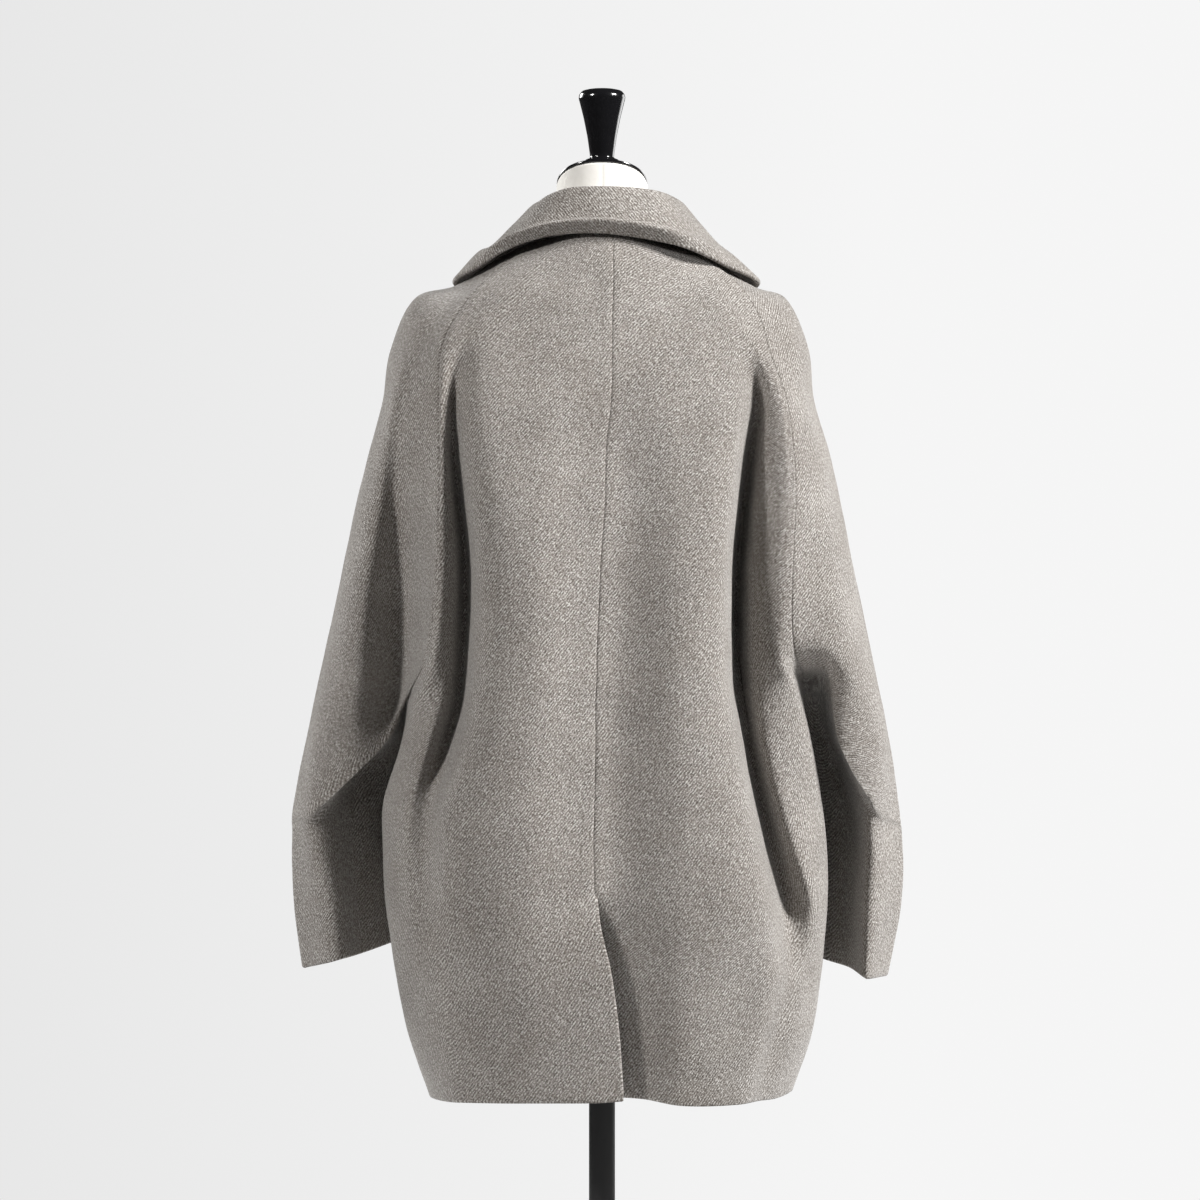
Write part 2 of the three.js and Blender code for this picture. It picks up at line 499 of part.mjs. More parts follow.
// ---- lapels: made from the fronts' own points, moved out ----
function liftedPoint(name, row, column, lift) {
  const { at, flip } = surfaces[name];
  const here = at(row, column);
  const down = at(row + 0.05, column).sub(at(Math.max(row - 0.05, 0), column));
  const across = at(row, column + 0.05).sub(at(row, Math.max(column - 0.05, 0)));
  const n = down.cross(across).normalize();
  if (flip) n.negate();
  return { point: here.addScaledVector(n, lift), n };
}

const LAPEL_TOP = 0.85;       // section of the front where the gorge meets the roll line
const LAPEL_DROP = 2.35;      // how many sections lower the gorge ends, at the lapel's point
const LAPEL_WIDTH = 2.3;      // widest reach, in columns of the front
const LAPEL_ROLL = 3;         // extra rise of the soft roll at the top
const LAPEL_ROWS = 10;
const LAPEL_COLUMNS = 5;
// The last section of each lapel at the roll line and at its outer edge. The right one runs down to
// the break; the left one ends where the outer front crosses it.
const LAPEL_END = { left: [4.15, 5.3], right: [BREAK_ROW, BREAK_ROW] };

function lapelReach(section) {
  const tip = LAPEL_TOP + LAPEL_DROP;
  const share = THREE.MathUtils.clamp((BREAK_ROW - section) / (BREAK_ROW - tip), 0, 1);
  return LAPEL_WIDTH * Math.pow(share, 0.75) + 0.12;
}

function lapelPoints(side) {
  const points = [];
  for (let i = 0; i <= LAPEL_ROWS; i++) {
    const down = i / LAPEL_ROWS;
    const row = [];
    for (let j = 0; j <= LAPEL_COLUMNS; j++) {
      const out = j / LAPEL_COLUMNS;
      const end = mix(...LAPEL_END[side], out);
      const section = mix(LAPEL_TOP + LAPEL_DROP * out, end, down);
      const lift = LAPEL_LIFT + LAPEL_ROLL * Math.sin(Math.PI * out) * (1 - down);
      row.push(liftedPoint(`front_${side}`, section, lapelReach(section) * out, lift).point);
    }
    points.push(row);
  }
  return points;
}

for (const side of ['left', 'right']) {
  const { flip } = surfaces[`front_${side}`];
  const piece = panel(`lapel_${side}`, lapelPoints(side), { flip, shared: false });
  add(piece.name, wallGeometry(piece), 'wool');
}

// ---- buttons, sewn on the outer front in two rows of three ----
function buttonGeometry() {
  const r = BUTTON_RADIUS;
  const h = BUTTON_THICK;
  const dish = r - BUTTON_RIM;
  const profile = [
    [0, -SHANK], [SHANK_RADIUS, -SHANK], [SHANK_RADIUS, 0], [r - 1.2, 0], [r, 1], [r, h - 1],
    [r - 1, h], [dish, h], [dish - 1, h - 1.2], [0, h - 1.2],
  ];
  return new THREE.LatheGeometry(profile.map(([x, y]) => new THREE.Vector2(x, y)), 24).rotateX(Math.PI / 2);
}

function onWall(name, row, column) {
  // Point of the faceted wall, whose lines lie at each half column.
  const line = Math.floor(column * 2) / 2;
  const { at } = surfaces[name];
  return at(row, line).lerp(at(row, line + 0.5), (column - line) * 2);
}

BUTTON_ROWS.forEach((row, i) => {
  for (const [side, column] of Object.entries(BUTTON_COLUMNS)) {
    const { n } = liftedPoint('front_right', row, column, 0);
    const mesh = add(`button_${i + 1}_${side}`, buttonGeometry(), 'horn');
    mesh.position.copy(onWall('front_right', row, column)).addScaledVector(n, SHANK + 2 * SEAM_GAP);
    mesh.quaternion.setFromUnitVectors(new THREE.Vector3(0, 0, 1), n);
  }
});

// ---- dress form: smooth closed rings from the hip to the tilted neck ----
function ringPoints([half, back, front], height) {
  const ring = [];
  for (let k = 0; k < FORM_SIDES; k++) {
    const a = (2 * Math.PI * k) / FORM_SIDES;
    const c = Math.cos(a);
    const s = Math.sin(a);
    const size = Math.pow(Math.abs(c), FORM_ROUND) + Math.pow(Math.abs(s), FORM_ROUND);
    const round = Math.pow(size, -1 / FORM_ROUND);
    const y = s * round * (s > 0 ? back : -front);
    ring.push(new THREE.Vector3(c * round * half, y, height(y)));
  }
  return ring;
}

function loft(rings) {
  // Closed solid through rings of equal count, with a flat fan at each end.
  const count = rings[0].length;
  const middle = (ring) => ring.reduce((sum, p) => sum.add(p), new THREE.Vector3()).divideScalar(count);
  const first = middle(rings[0]);
  const lastMiddle = middle(rings[rings.length - 1]);
  const points = [...rings.flat(), first, lastMiddle];
  const index = [];
  const top = rings.length - 1;
  for (let k = 0; k < count; k++) {
    const next = (k + 1) % count;
    for (let i = 0; i < top; i++) {
      const a = i * count + k;
      const b = i * count + next;
      index.push(a, b, b + count, a, b + count, a + count);
    }
    index.push(points.length - 2, next, k);
    index.push(points.length - 1, top * count + k, top * count + next);
  }
  return indexed(points.flatMap((p) => [p.x, p.y, p.z]), index);
}

const neckHeight = (y, rise) => NECK_TOP - rise + NECK_TILT * y;
const formRings = FORM.map((row) => ringPoints(row.slice(1), () => row[0]));
const NECK_EDGE = 1.5;        // rounding at the top of the neck
formRings.push(ringPoints([46.5, 45, -44], (y) => 1432 + 0.3 * y));
formRings.push(ringPoints(NECK_RING, (y) => neckHeight(y, NECK_EDGE)));
formRings.push(ringPoints(NECK_RING.map((size) => size * 0.97), (y) => neckHeight(y, 0)));
add('form_torso', loft(formRings), 'linen');

// ---- neck plate and finial, turned and stacked on the tilted neck ----
const plateTop = -PLATE_THICK - SEAM_GAP;
const plateRings = [-SEAM_GAP, plateTop].map((rise) => ringPoints(
  NECK_RING.map((size) => size * PLATE_SHARE), (y) => neckHeight(y, rise)));
add('neck_plate', loft(plateRings), 'lacquer');

// radius, height of each turned ring above the foot, which lies on the tilted plate
const FINIAL_FOOT = 9;
const FINIAL = [
  [9, 1469], [17, 1470], [18.2, 1473], [17, 1477], [12, 1478.5], [12.2, 1482], [14.6, 1500], [18.4, 1519],
  [22.6, 1535], [23.4, 1538], [22.8, 1542], [19.5, 1546], [10, 1548],
];
const finialRings = [ringPoints([FINIAL_FOOT, FINIAL_FOOT, -FINIAL_FOOT],
  (y) => neckHeight(y, plateTop - SEAM_GAP))];
for (const [radius, z] of FINIAL) finialRings.push(ringPoints([radius, radius, -radius], () => z));
add('finial', loft(finialRings), 'lacquer');

// ---- pole and base ----
const poleLength = FORM[0][0] - POLE_FOOT - 2 * SEAM_GAP;
const pole = add('pole', new THREE.CylinderGeometry(POLE_RADIUS, POLE_RADIUS, poleLength, 32), 'blackPaint');
pole.rotation.x = Math.PI / 2;
pole.position.z = POLE_FOOT + SEAM_GAP + poleLength / 2;

const baseProfile = [
  [0, 0], [BASE_RADIUS - 2, 0], [BASE_RADIUS, 2], [BASE_RADIUS, BASE_THICK - 5],
  [BASE_RADIUS - 4, BASE_THICK - 1], [BASE_RADIUS - 12, BASE_THICK],
  [34, BASE_THICK + 2], [24, BASE_THICK + 6], [22, POLE_FOOT - 2], [20, POLE_FOOT], [0, POLE_FOOT],
];
const base = new THREE.LatheGeometry(baseProfile.map(([x, y]) => new THREE.Vector2(x, y)), 64);
add('base', base.rotateX(Math.PI / 2), 'blackPaint');

export default coat;
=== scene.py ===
"""The looks of a thick wool pea coat on a dress form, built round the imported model. Metres, +Z up."""
import math

import bpy
import numpy as np
from mathutils import Matrix, Vector, noise


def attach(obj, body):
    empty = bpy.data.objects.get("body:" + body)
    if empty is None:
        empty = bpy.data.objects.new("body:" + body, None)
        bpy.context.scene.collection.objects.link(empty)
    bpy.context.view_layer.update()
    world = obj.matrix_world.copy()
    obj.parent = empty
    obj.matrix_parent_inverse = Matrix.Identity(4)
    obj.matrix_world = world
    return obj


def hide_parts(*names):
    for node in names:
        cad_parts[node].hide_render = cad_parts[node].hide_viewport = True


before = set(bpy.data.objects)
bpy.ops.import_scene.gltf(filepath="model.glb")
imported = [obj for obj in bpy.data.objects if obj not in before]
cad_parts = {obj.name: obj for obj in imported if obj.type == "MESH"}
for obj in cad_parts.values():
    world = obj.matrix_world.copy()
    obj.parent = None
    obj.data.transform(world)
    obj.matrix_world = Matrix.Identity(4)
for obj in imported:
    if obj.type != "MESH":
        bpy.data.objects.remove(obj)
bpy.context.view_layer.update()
MM = 0.001

# ---- Studio ----
# A level camera behind the coat, a large soft light high on its right, a weaker one on its left,
# and a pale floor. The pale surround is seen but gives only part of the light. As the camera sees
# it, the surround is painted darker on the left and lighter on the right: a painted light falloff.
CAMERA_AWAY = 4.5
CAMERA_ASIDE = 0.002
CAMERA_HEIGHT = 1.037
VIEW_HEIGHT = 1.2
FILM = 36.0
scene = bpy.context.scene
scene.view_settings.view_transform = "Standard"

camera = bpy.data.objects.new("camera", bpy.data.cameras.new("camera"))
scene.collection.objects.link(camera)
camera.location = (CAMERA_ASIDE, CAMERA_AWAY, CAMERA_HEIGHT)
camera.rotation_euler = (math.radians(90), 0, math.radians(180))
camera.data.sensor_width = FILM
camera.data.lens = FILM * CAMERA_AWAY / VIEW_HEIGHT
camera.data.clip_end = 60
scene.camera = camera


def soft_light(name, place, size, watts, colour=(1, 1, 1), target=(0, 0, 0.95)):
    light = bpy.data.lights.new(name, "AREA")
    light.shape = "RECTANGLE"
    light.size, light.size_y = size
    light.energy = watts
    light.color = colour
    holder = bpy.data.objects.new(name, light)
    holder.location = place
    holder.rotation_euler = (Vector(target) - Vector(place)).to_track_quat("-Z", "Y").to_euler()
    scene.collection.objects.link(holder)


soft_light("key", (-3.6, 1.55, 3.5), (1.1, 1.1), 405, (1.0, 0.99, 0.98))
soft_light("fill", (3.0, 2.35, 2.9), (0.6, 0.6), 112, (1.0, 0.985, 0.97))
soft_light("front_key", (2.9, -2.6, 2.6), (1.6, 1.6), 120)
soft_light("front_fill", (-2.6, -2.9, 1.5), (2.0, 2.4), 40)

world = bpy.data.worlds.new("surround")
scene.world = world
world.use_nodes = True
sky = world.node_tree.nodes
shown = sky.new("ShaderNodeBackground")
given = sky["Background"]
given.inputs["Color"].default_value = (1, 0.97, 0.93, 1)
given.inputs["Strength"].default_value = 0.03
seen = sky.new("ShaderNodeLightPath")
either = sky.new("ShaderNodeMixShader")
towards = sky.new("ShaderNodeTexCoord")
sideways = sky.new("ShaderNodeSeparateXYZ")
fade = sky.new("ShaderNodeMapRange")
fade.inputs["From Min"].default_value = 0.14
fade.inputs["From Max"].default_value = -0.06
# Painted light falloff: the surround that the camera sees goes from darker on the left to lighter on the
# right.
painted_falloff = sky.new("ShaderNodeValToRGB")
painted_falloff.color_ramp.elements[0].color = (0.80, 0.80, 0.80, 1)
painted_falloff.color_ramp.elements[1].color = (0.915, 0.915, 0.915, 1)
for source, target in (
    (towards.outputs["Generated"], sideways.inputs[0]),
    (sideways.outputs["X"], fade.inputs["Value"]),
    (fade.outputs[0], painted_falloff.inputs[0]),
    (painted_falloff.outputs[0], shown.inputs["Color"]),
    (seen.outputs["Is Camera Ray"], either.inputs[0]),
    (given.outputs[0], either.inputs[1]),
    (shown.outputs[0], either.inputs[2]),
    (either.outputs[0], sky["World Output"].inputs["Surface"]),
):
    world.node_tree.links.new(source, target)

# ---- Base and pole ----
# A weighted round plate with a short boss, turned and painted satin black, and the steel pole that
# stands in the boss and runs up into the form.


class Wire:
    """A socket in a finish. Sums on it add Math nodes."""

    def __init__(self, tree, socket):
        self.tree = tree
        self.socket = socket

    def maths(self, operation, *others):
        node = self.tree.nodes.new("ShaderNodeMath")
        node.operation = operation
        for slot, value in zip(node.inputs, (self, *others)):
            join(self.tree, slot, value)
        return Wire(self.tree, node.outputs[0])

    def __add__(self, other):
        return self.maths("ADD", other)

    def __mul__(self, other):
        return self.maths("MULTIPLY", other)

    def __sub__(self, other):
        return self.maths("SUBTRACT", other)

    def __rsub__(self, other):
        return self.maths("MULTIPLY_ADD", -1.0, other)

    __radd__ = __add__
    __rmul__ = __mul__


def join(tree, slot, value):
    if isinstance(value, Wire):
        tree.links.new(value.socket, slot)
    elif hasattr(value, "__len__") and len(value) == 3 and slot.type == "RGBA":
        slot.default_value = (*value, 1)
    else:
        slot.default_value = value


class Finish:
    """A material under way: its constants sit on the shader, its nodes come from node()."""

    def __init__(self, name, **constants):
        self.material = bpy.data.materials.new(name)
        self.material.use_nodes = True
        self.tree = self.material.node_tree
        self.shader = self.tree.nodes["Principled BSDF"]
        for socket, value in constants.items():
            join(self.tree, self.shader.inputs[socket.replace("_", " ")], value)

    def node(self, kind, settings=None, sockets=None, output=0):
        node = self.tree.nodes.new("ShaderNode" + kind)
        for key, value in (settings or {}).items():
            if key == "stops":
                ramp = node.color_ramp
                while len(ramp.elements) < len(value):
                    ramp.elements.new(1)
                for element, (place, colour) in zip(ramp.elements, value):
                    element.position = place
                    element.color = (*colour, 1)
            else:
                setattr(node, key, value)
        for key, value in (sockets or {}).items():
            join(self.tree, node.inputs[key], value)
        return Wire(self.tree, node.outputs[output])

    def place(self):
        return self.node("TexCoord", output="Object")

    def threads(self):
        return self.node("TexCoord", output="UV")

    def speckle(self, scale, detail=2.0, rough=0.5, vector=None):
        sockets = {"Vector": vector or self.place(), "Scale": scale, "Detail": detail, "Roughness": rough}
        return self.node("TexNoise", sockets=sockets, output="Fac")

    def split(self, vector):
        """The first two parts of a place."""
        first = self.node("SeparateXYZ", sockets={"Vector": vector})
        return first, Wire(self.tree, first.socket.node.outputs[1])

    def blend(self, share, first, second):
        sockets = {0: share, 6: first, 7: second}
        return self.node("Mix", {"data_type": "RGBA"}, sockets, output=2)

    def relief(self, height, deep, strength=1.0):
        bump = self.node("Bump", sockets={"Height": height, "Distance": deep, "Strength": strength})
        self.feed("Normal", bump)

    def feed(self, socket, value):
        join(self.tree, self.shader.inputs[socket], value)


def piece_from(name, points, faces, material, uv=None, crisp=60):
    """A smooth-shaded mesh object; uv gives a place on the cloth for each of its points."""
    mesh = bpy.data.meshes.new(name)
    mesh.from_pydata([tuple(p) for p in points], [], faces)
    mesh.materials.append(material)
    mesh.polygons.foreach_set("use_smooth", [True] * len(mesh.polygons))
    mesh.set_sharp_from_angle(angle=math.radians(crisp))
    if uv is not None:
        layer = mesh.uv_layers.new(name="cloth")
        corner = np.empty(len(mesh.loops), dtype=np.int32)
        mesh.loops.foreach_get("vertex_index", corner)
        layer.data.foreach_set("uv", np.asarray(uv, dtype=np.float32)[corner].ravel())
    piece = bpy.data.objects.new(name, mesh)
    scene.collection.objects.link(piece)
    return piece


def rounded(profile, radius, parts=4):
    """The profile with each inner corner turned into a short arc."""
    points = [np.array(profile[0], float)]
    for before, corner, after in zip(profile, profile[1:], profile[2:]):
        corner = np.array(corner, float)
        back = np.array(before, float) - corner
        on = np.array(after, float) - corner
        reach = min(radius, np.linalg.norm(back) * 0.45, np.linalg.norm(on) * 0.45)
        start = corner + back / np.linalg.norm(back) * reach
        end = corner + on / np.linalg.norm(on) * reach
        for i in range(parts + 1):
            t = i / parts
            points.append((1 - t) ** 2 * start + 2 * t * (1 - t) * corner + t * t * end)
    points.append(np.array(profile[-1], float))
    return points


def rings_to_faces(rings, sides):
    faces = []
    for i in range(rings - 1):
        for k in range(sides):
            a = i * sides + k
            b = i * sides + (k + 1) % sides
            faces.append((a, b, b + sides, a + sides))
    faces.append(tuple(range(sides))[::-1])
    faces.append(tuple((rings - 1) * sides + k for k in range(sides)))
    return faces


def turned(name, profile, material, sides=96):
    """A turned piece: the profile gives radius and height in mm, from the bottom up."""
    angles = np.arange(sides) * 2 * math.pi / sides
    points = [
        (radius * math.cos(a) * MM, radius * math.sin(a) * MM, height * MM)
        for radius, height in profile
        for a in angles
    ]
    return piece_from(name, points, rings_to_faces(len(profile), sides), material, crisp=50)


def stands_for(piece, node):
    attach(piece, "root")
    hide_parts(node)


POLE_RADIUS = 13
BASE_RADIUS = 180
BASE_THICK = 14
BOSS_TOP = 34
FORM_FOOT = 772
paint = Finish("black_paint", Base_Color=(0.012, 0.012, 0.013), Roughness=0.42, Coat_Weight=0.1)
paint.shader.inputs["Coat Roughness"].default_value = 0.25
orange_peel = paint.speckle(900, 2.0)
scuffs = paint.speckle(38, 5.0, 0.7)
paint.feed("Roughness", 0.38 + 0.16 * scuffs)
paint.relief(orange_peel, 0.00005, 0.5)

base_profile = [
    (1, 0), (BASE_RADIUS, 0), (BASE_RADIUS, BASE_THICK - 3), (BASE_RADIUS - 10, BASE_THICK),
    (30, BASE_THICK + 2), (22, BASE_THICK + 8), (21, BOSS_TOP), (1, BOSS_TOP),
]
base = turned("round_base", rounded(base_profile, 3), paint.material)
stands_for(base, "base")
pole_profile = [(1, BOSS_TOP + 0.3), (POLE_RADIUS, BOSS_TOP + 0.3), (POLE_RADIUS, FORM_FOOT - 0.3),
                (1, FORM_FOOT - 0.3)]
pole = turned("stand_pole", rounded(pole_profile, 0.8), paint.material)
stands_for(pole, "pole")

# ---- Dress form ----
# A padded form without limbs, hip to neck, that stands on the pole. Its cover is cream linen cut in
# panels, with a seam down the middle of the back and front and one at each side.

# Rings: height, half width, back, front.
FORM_RINGS = np.array([
    (772, 96, 62, 56), (780, 122, 84, 76), (800, 140, 94, 86), (850, 158, 102, 92), (910, 160, 100, 96),
    (980, 146, 90, 92), (1050, 130, 84, 86), (1110, 132, 88, 94), (1170, 148, 98, 112), (1230, 164, 102, 126),
    (1280, 176, 95, 98), (1310, 176, 90, 74), (1332, 160, 80, 60), (1346, 142, 75, 52), (1356, 126, 70, 47),
    (1366, 108, 65, 44), (1376, 88, 60, 42), (1386, 68, 55, 42), (1397, 54, 50, 42), (1415, 49, 47, 44),
    (1432, 46.5, 45, 44),
], float)
FORM_ROUND = 2.25
FORM_SIDES = 192
LINEN_SEAM_DEEP = 0.6
RING_TILT = 0.3
NECK = np.array([45.5, 44, 44])
NECK_TOP = 1449
NECK_TILT = 0.5


def oval(half, back, front, sides, roundness=FORM_ROUND):
    """x and y of a ring that is a little squarer than an ellipse, from the left side to the back."""
    a = np.arange(sides) * 2 * math.pi / sides
    c, s = np.cos(a), np.sin(a)
    size = (np.abs(c) ** roundness + np.abs(s) ** roundness) ** (-1 / roundness)
    return c * size * half, s * size * np.where(s > 0, back, front)


def smooth_line(points, at):
    """Places on the smooth centripetal curve through points, where a step of 1 is one point on."""
    points = np.asarray(points, float)
    last = len(points) - 1
    at = np.clip(np.asarray(at, float), 0, last)
    i = np.minimum(at.astype(int), last - 1)
    t = (at - i).reshape((-1,) + (1,) * (points.ndim - 1))
    ends = np.concatenate([2 * points[:1] - points[1:2], points, 2 * points[-1:] - points[-2:-1]])
    a, b, c, d = (ends[i + k] for k in range(4))
    ab, bc, cd = (np.sqrt(np.linalg.norm(q - p, axis=-1, keepdims=True)) for p, q in ((a, b), (b, c), (c, d)))
    bc = np.where(bc < 1e-4, 1, bc)
    ab = np.where(ab < 1e-4, bc, ab)
    cd = np.where(cd < 1e-4, bc, cd)
    leave = ((b - a) / ab - (c - a) / (ab + bc) + (c - b) / bc) * bc
    reach = ((c - b) / bc - (d - b) / (bc + cd) + (d - c) / cd) * bc
    return b + t * leave + t * t * (3 * (c - b) - 2 * leave - reach) + t**3 * (2 * (b - c) + leave + reach)


def form_piece():
    sides = FORM_SIDES
    points, cloth = [], []
    steps = np.arange(0, len(FORM_RINGS) - 0.99, 0.25)
    heights = np.interp(steps, np.arange(len(FORM_RINGS)), FORM_RINGS[:, 0])
    sizes = smooth_line(FORM_RINGS, steps)
    level_to, tilted_at = FORM_RINGS[-2:, 0]
    for z, (_, half, back, front) in zip(heights, sizes):
        x, y = oval(half, back, front, sides)
        tilt = np.clip((z - level_to) / (tilted_at - level_to), 0, 1) * RING_TILT
        points.append(np.stack([x, y, z + tilt * y], 1))
    for rise, share in ((6, 1), (3, 1), (1.5, 1), (0.8, 0.992), (0.2, 0.975), (0, 0.95)):
        x, y = oval(*(NECK * share), sides)
        points.append(np.stack([x, y, NECK_TOP - rise + NECK_TILT * y], 1))
    rings = np.array(points)
    middle = rings.mean(axis=1, keepdims=True)
    out = rings - middle
    out[..., 2] = 0
    out /= np.linalg.norm(out, axis=2, keepdims=True)
    turn = np.arange(sides)
    for seam in (0, sides // 4, sides // 2, 3 * sides // 4):
        away = np.minimum(np.abs(turn - seam), sides - np.abs(turn - seam))
        rings -= out * (LINEN_SEAM_DEEP * np.exp(-((away / 0.7) ** 2)))[None, :, None]
    girth = np.linalg.norm(np.roll(rings, -1, 1) - rings, axis=2).cumsum(axis=1)
    uv = np.stack([girth, np.broadcast_to(rings[..., 2:].mean(1), girth.shape)], 2) * MM
    return piece_from("linen_form", rings.reshape(-1, 3) * MM, rings_to_faces(len(rings), sides),
                      linen.material, uv.reshape(-1, 2))


linen = Finish("cream_linen", Roughness=0.9, Sheen_Weight=0.25, Sheen_Roughness=0.5)
warp, weft = linen.split(linen.threads())
slubs = linen.speckle(160, 3.0)
weave = (warp * 4500 + 3 * slubs).maths("SINE") * (weft * 4500 + 3 * slubs).maths("SINE")
linen.feed("Base Color", linen.blend(slubs, (0.83, 0.81, 0.76), (0.94, 0.925, 0.885)))
linen.relief(weave * 0.5 + slubs, 0.0002, 0.6)

stands_for(form_piece(), "form_torso")

# ---- Neck plate and finial ----
# A lacquered plate closes the sloping neck, and a turned knob stands on it: a bead at the foot and a
# cone that widens to its rounded top, both in black gloss lacquer.
PLATE_SHARE = 0.985
PLATE_THICK = 3
PLATE_SIDES = 128
KNOB_SIDES = 96
lacquer = Finish("black_lacquer", Base_Color=(0.006, 0.006, 0.007), Roughness=0.16, Coat_Weight=0.6)
lacquer.shader.inputs["Coat Roughness"].default_value = 0.06
dust = lacquer.speckle(240, 4.0, 0.7)
lacquer.feed("Roughness", 0.1 + 0.14 * dust)
lacquer.relief(lacquer.speckle(60, 2.0), 0.0001, 0.25)


def neck_height(y, above):
    return NECK_TOP + above + NECK_TILT * y


plate_rings = []
for above, share in ((0.3, 0.96), (0.5, PLATE_SHARE), (1.0, PLATE_SHARE + 0.008), (2.6, PLATE_SHARE + 0.008),
                     (3.1, PLATE_SHARE), (3.3, 0.95), (3.4, 0.3)):
    x, y = oval(*(NECK * share), PLATE_SIDES)
    plate_rings.append(np.stack([x, y, neck_height(y, above)], 1))
plate_faces = rings_to_faces(len(plate_rings), PLATE_SIDES)
plate = piece_from("neck_cap", np.concatenate(plate_rings) * MM, plate_faces, lacquer.material, crisp=50)
stands_for(plate, "neck_plate")

# Radius and height of the knob, from its foot on the plate to its crown.
KNOB = [
    (9, 1466), (9, 1469), (16.4, 1469.6), (18.2, 1473), (16.8, 1477.2), (12, 1478.8), (12.1, 1482),
    (14.6, 1500), (18.4, 1519), (22.4, 1535), (23.4, 1538.4), (22.9, 1542), (20, 1546), (12, 1547.8),
    (1, 1548),
]


def knob_ring(radius):
    return oval(radius, radius, radius, KNOB_SIDES, 2)


foot_x, foot_y = knob_ring(KNOB[0][0])
knob_rings = [np.stack([foot_x, foot_y, neck_height(foot_y, PLATE_THICK + 0.6)], 1)]
for radius, height in rounded(KNOB, 2.5, 5):
    x, y = knob_ring(radius)
    knob_rings.append(np.stack([x, y, np.full(KNOB_SIDES, height)], 1))
knob_faces = rings_to_faces(len(knob_rings), KNOB_SIDES)
knob = piece_from("turned_finial", np.concatenate(knob_rings) * MM, knob_faces, lacquer.material)
stands_for(knob, "finial")

# ---- Wool ----
# One thick milled twill for the whole coat: grey and taupe fibres mixed before spinning, fine ribs
# that climb to the right on the face of every piece, and a short soft nap that dulls it.
TWILL_RISE = math.radians(52)
TWILL_GAP = 0.0025
wool = Finish("wool_twill", Roughness=0.95, Sheen_Weight=0.3, Sheen_Roughness=0.5)
wool.shader.inputs["Specular IOR Level"].default_value = 0.2
across, along = wool.split(wool.threads())
climb = across * math.cos(TWILL_RISE) + along * math.sin(TWILL_RISE)
step = along * math.cos(TWILL_RISE) - across * math.sin(TWILL_RISE)
wander = wool.speckle(90, 2.0)
rib = (step * (2 * math.pi / TWILL_GAP) + 5 * wander).maths("SINE")
lie = wool.node("CombineXYZ", sockets={"X": climb * 330, "Y": step * 740})
fleck = wool.speckle(1.0, 2.0, 0.6, vector=lie)
grain = wool.speckle(620, 2.0, 0.6)
patch = wool.speckle(16, 3.0, 0.5)
tone = 0.5 * fleck + 0.5 * grain + 0.055 * rib + 0.08 * patch
shade = wool.node("ValToRGB", {"stops": [
    (0.39, (0.072, 0.06, 0.052)), (0.5, (0.192, 0.176, 0.161)), (0.575, (0.312, 0.294, 0.275)),
    (0.69, (0.64, 0.622, 0.597)),
]}, {"Fac": tone})
warmth = wool.speckle(30, 2.0)
wool.feed("Base Color", wool.blend(0.2 * warmth, shade, (0.27, 0.225, 0.18)))
wool.relief(0.5 * fleck + 0.6 * grain + 0.07 * rib, 0.0016, 1.0)

# ---- Backs ----
# Two halves of the wool, cut in one with the cocoon's width and sewn together down the middle. Below
# that seam they open in a vent, left over right.
UNDERARM_ROW = 12
VENT_ROW = 16
GRAIN_ROW = 80
EASE = 2.75

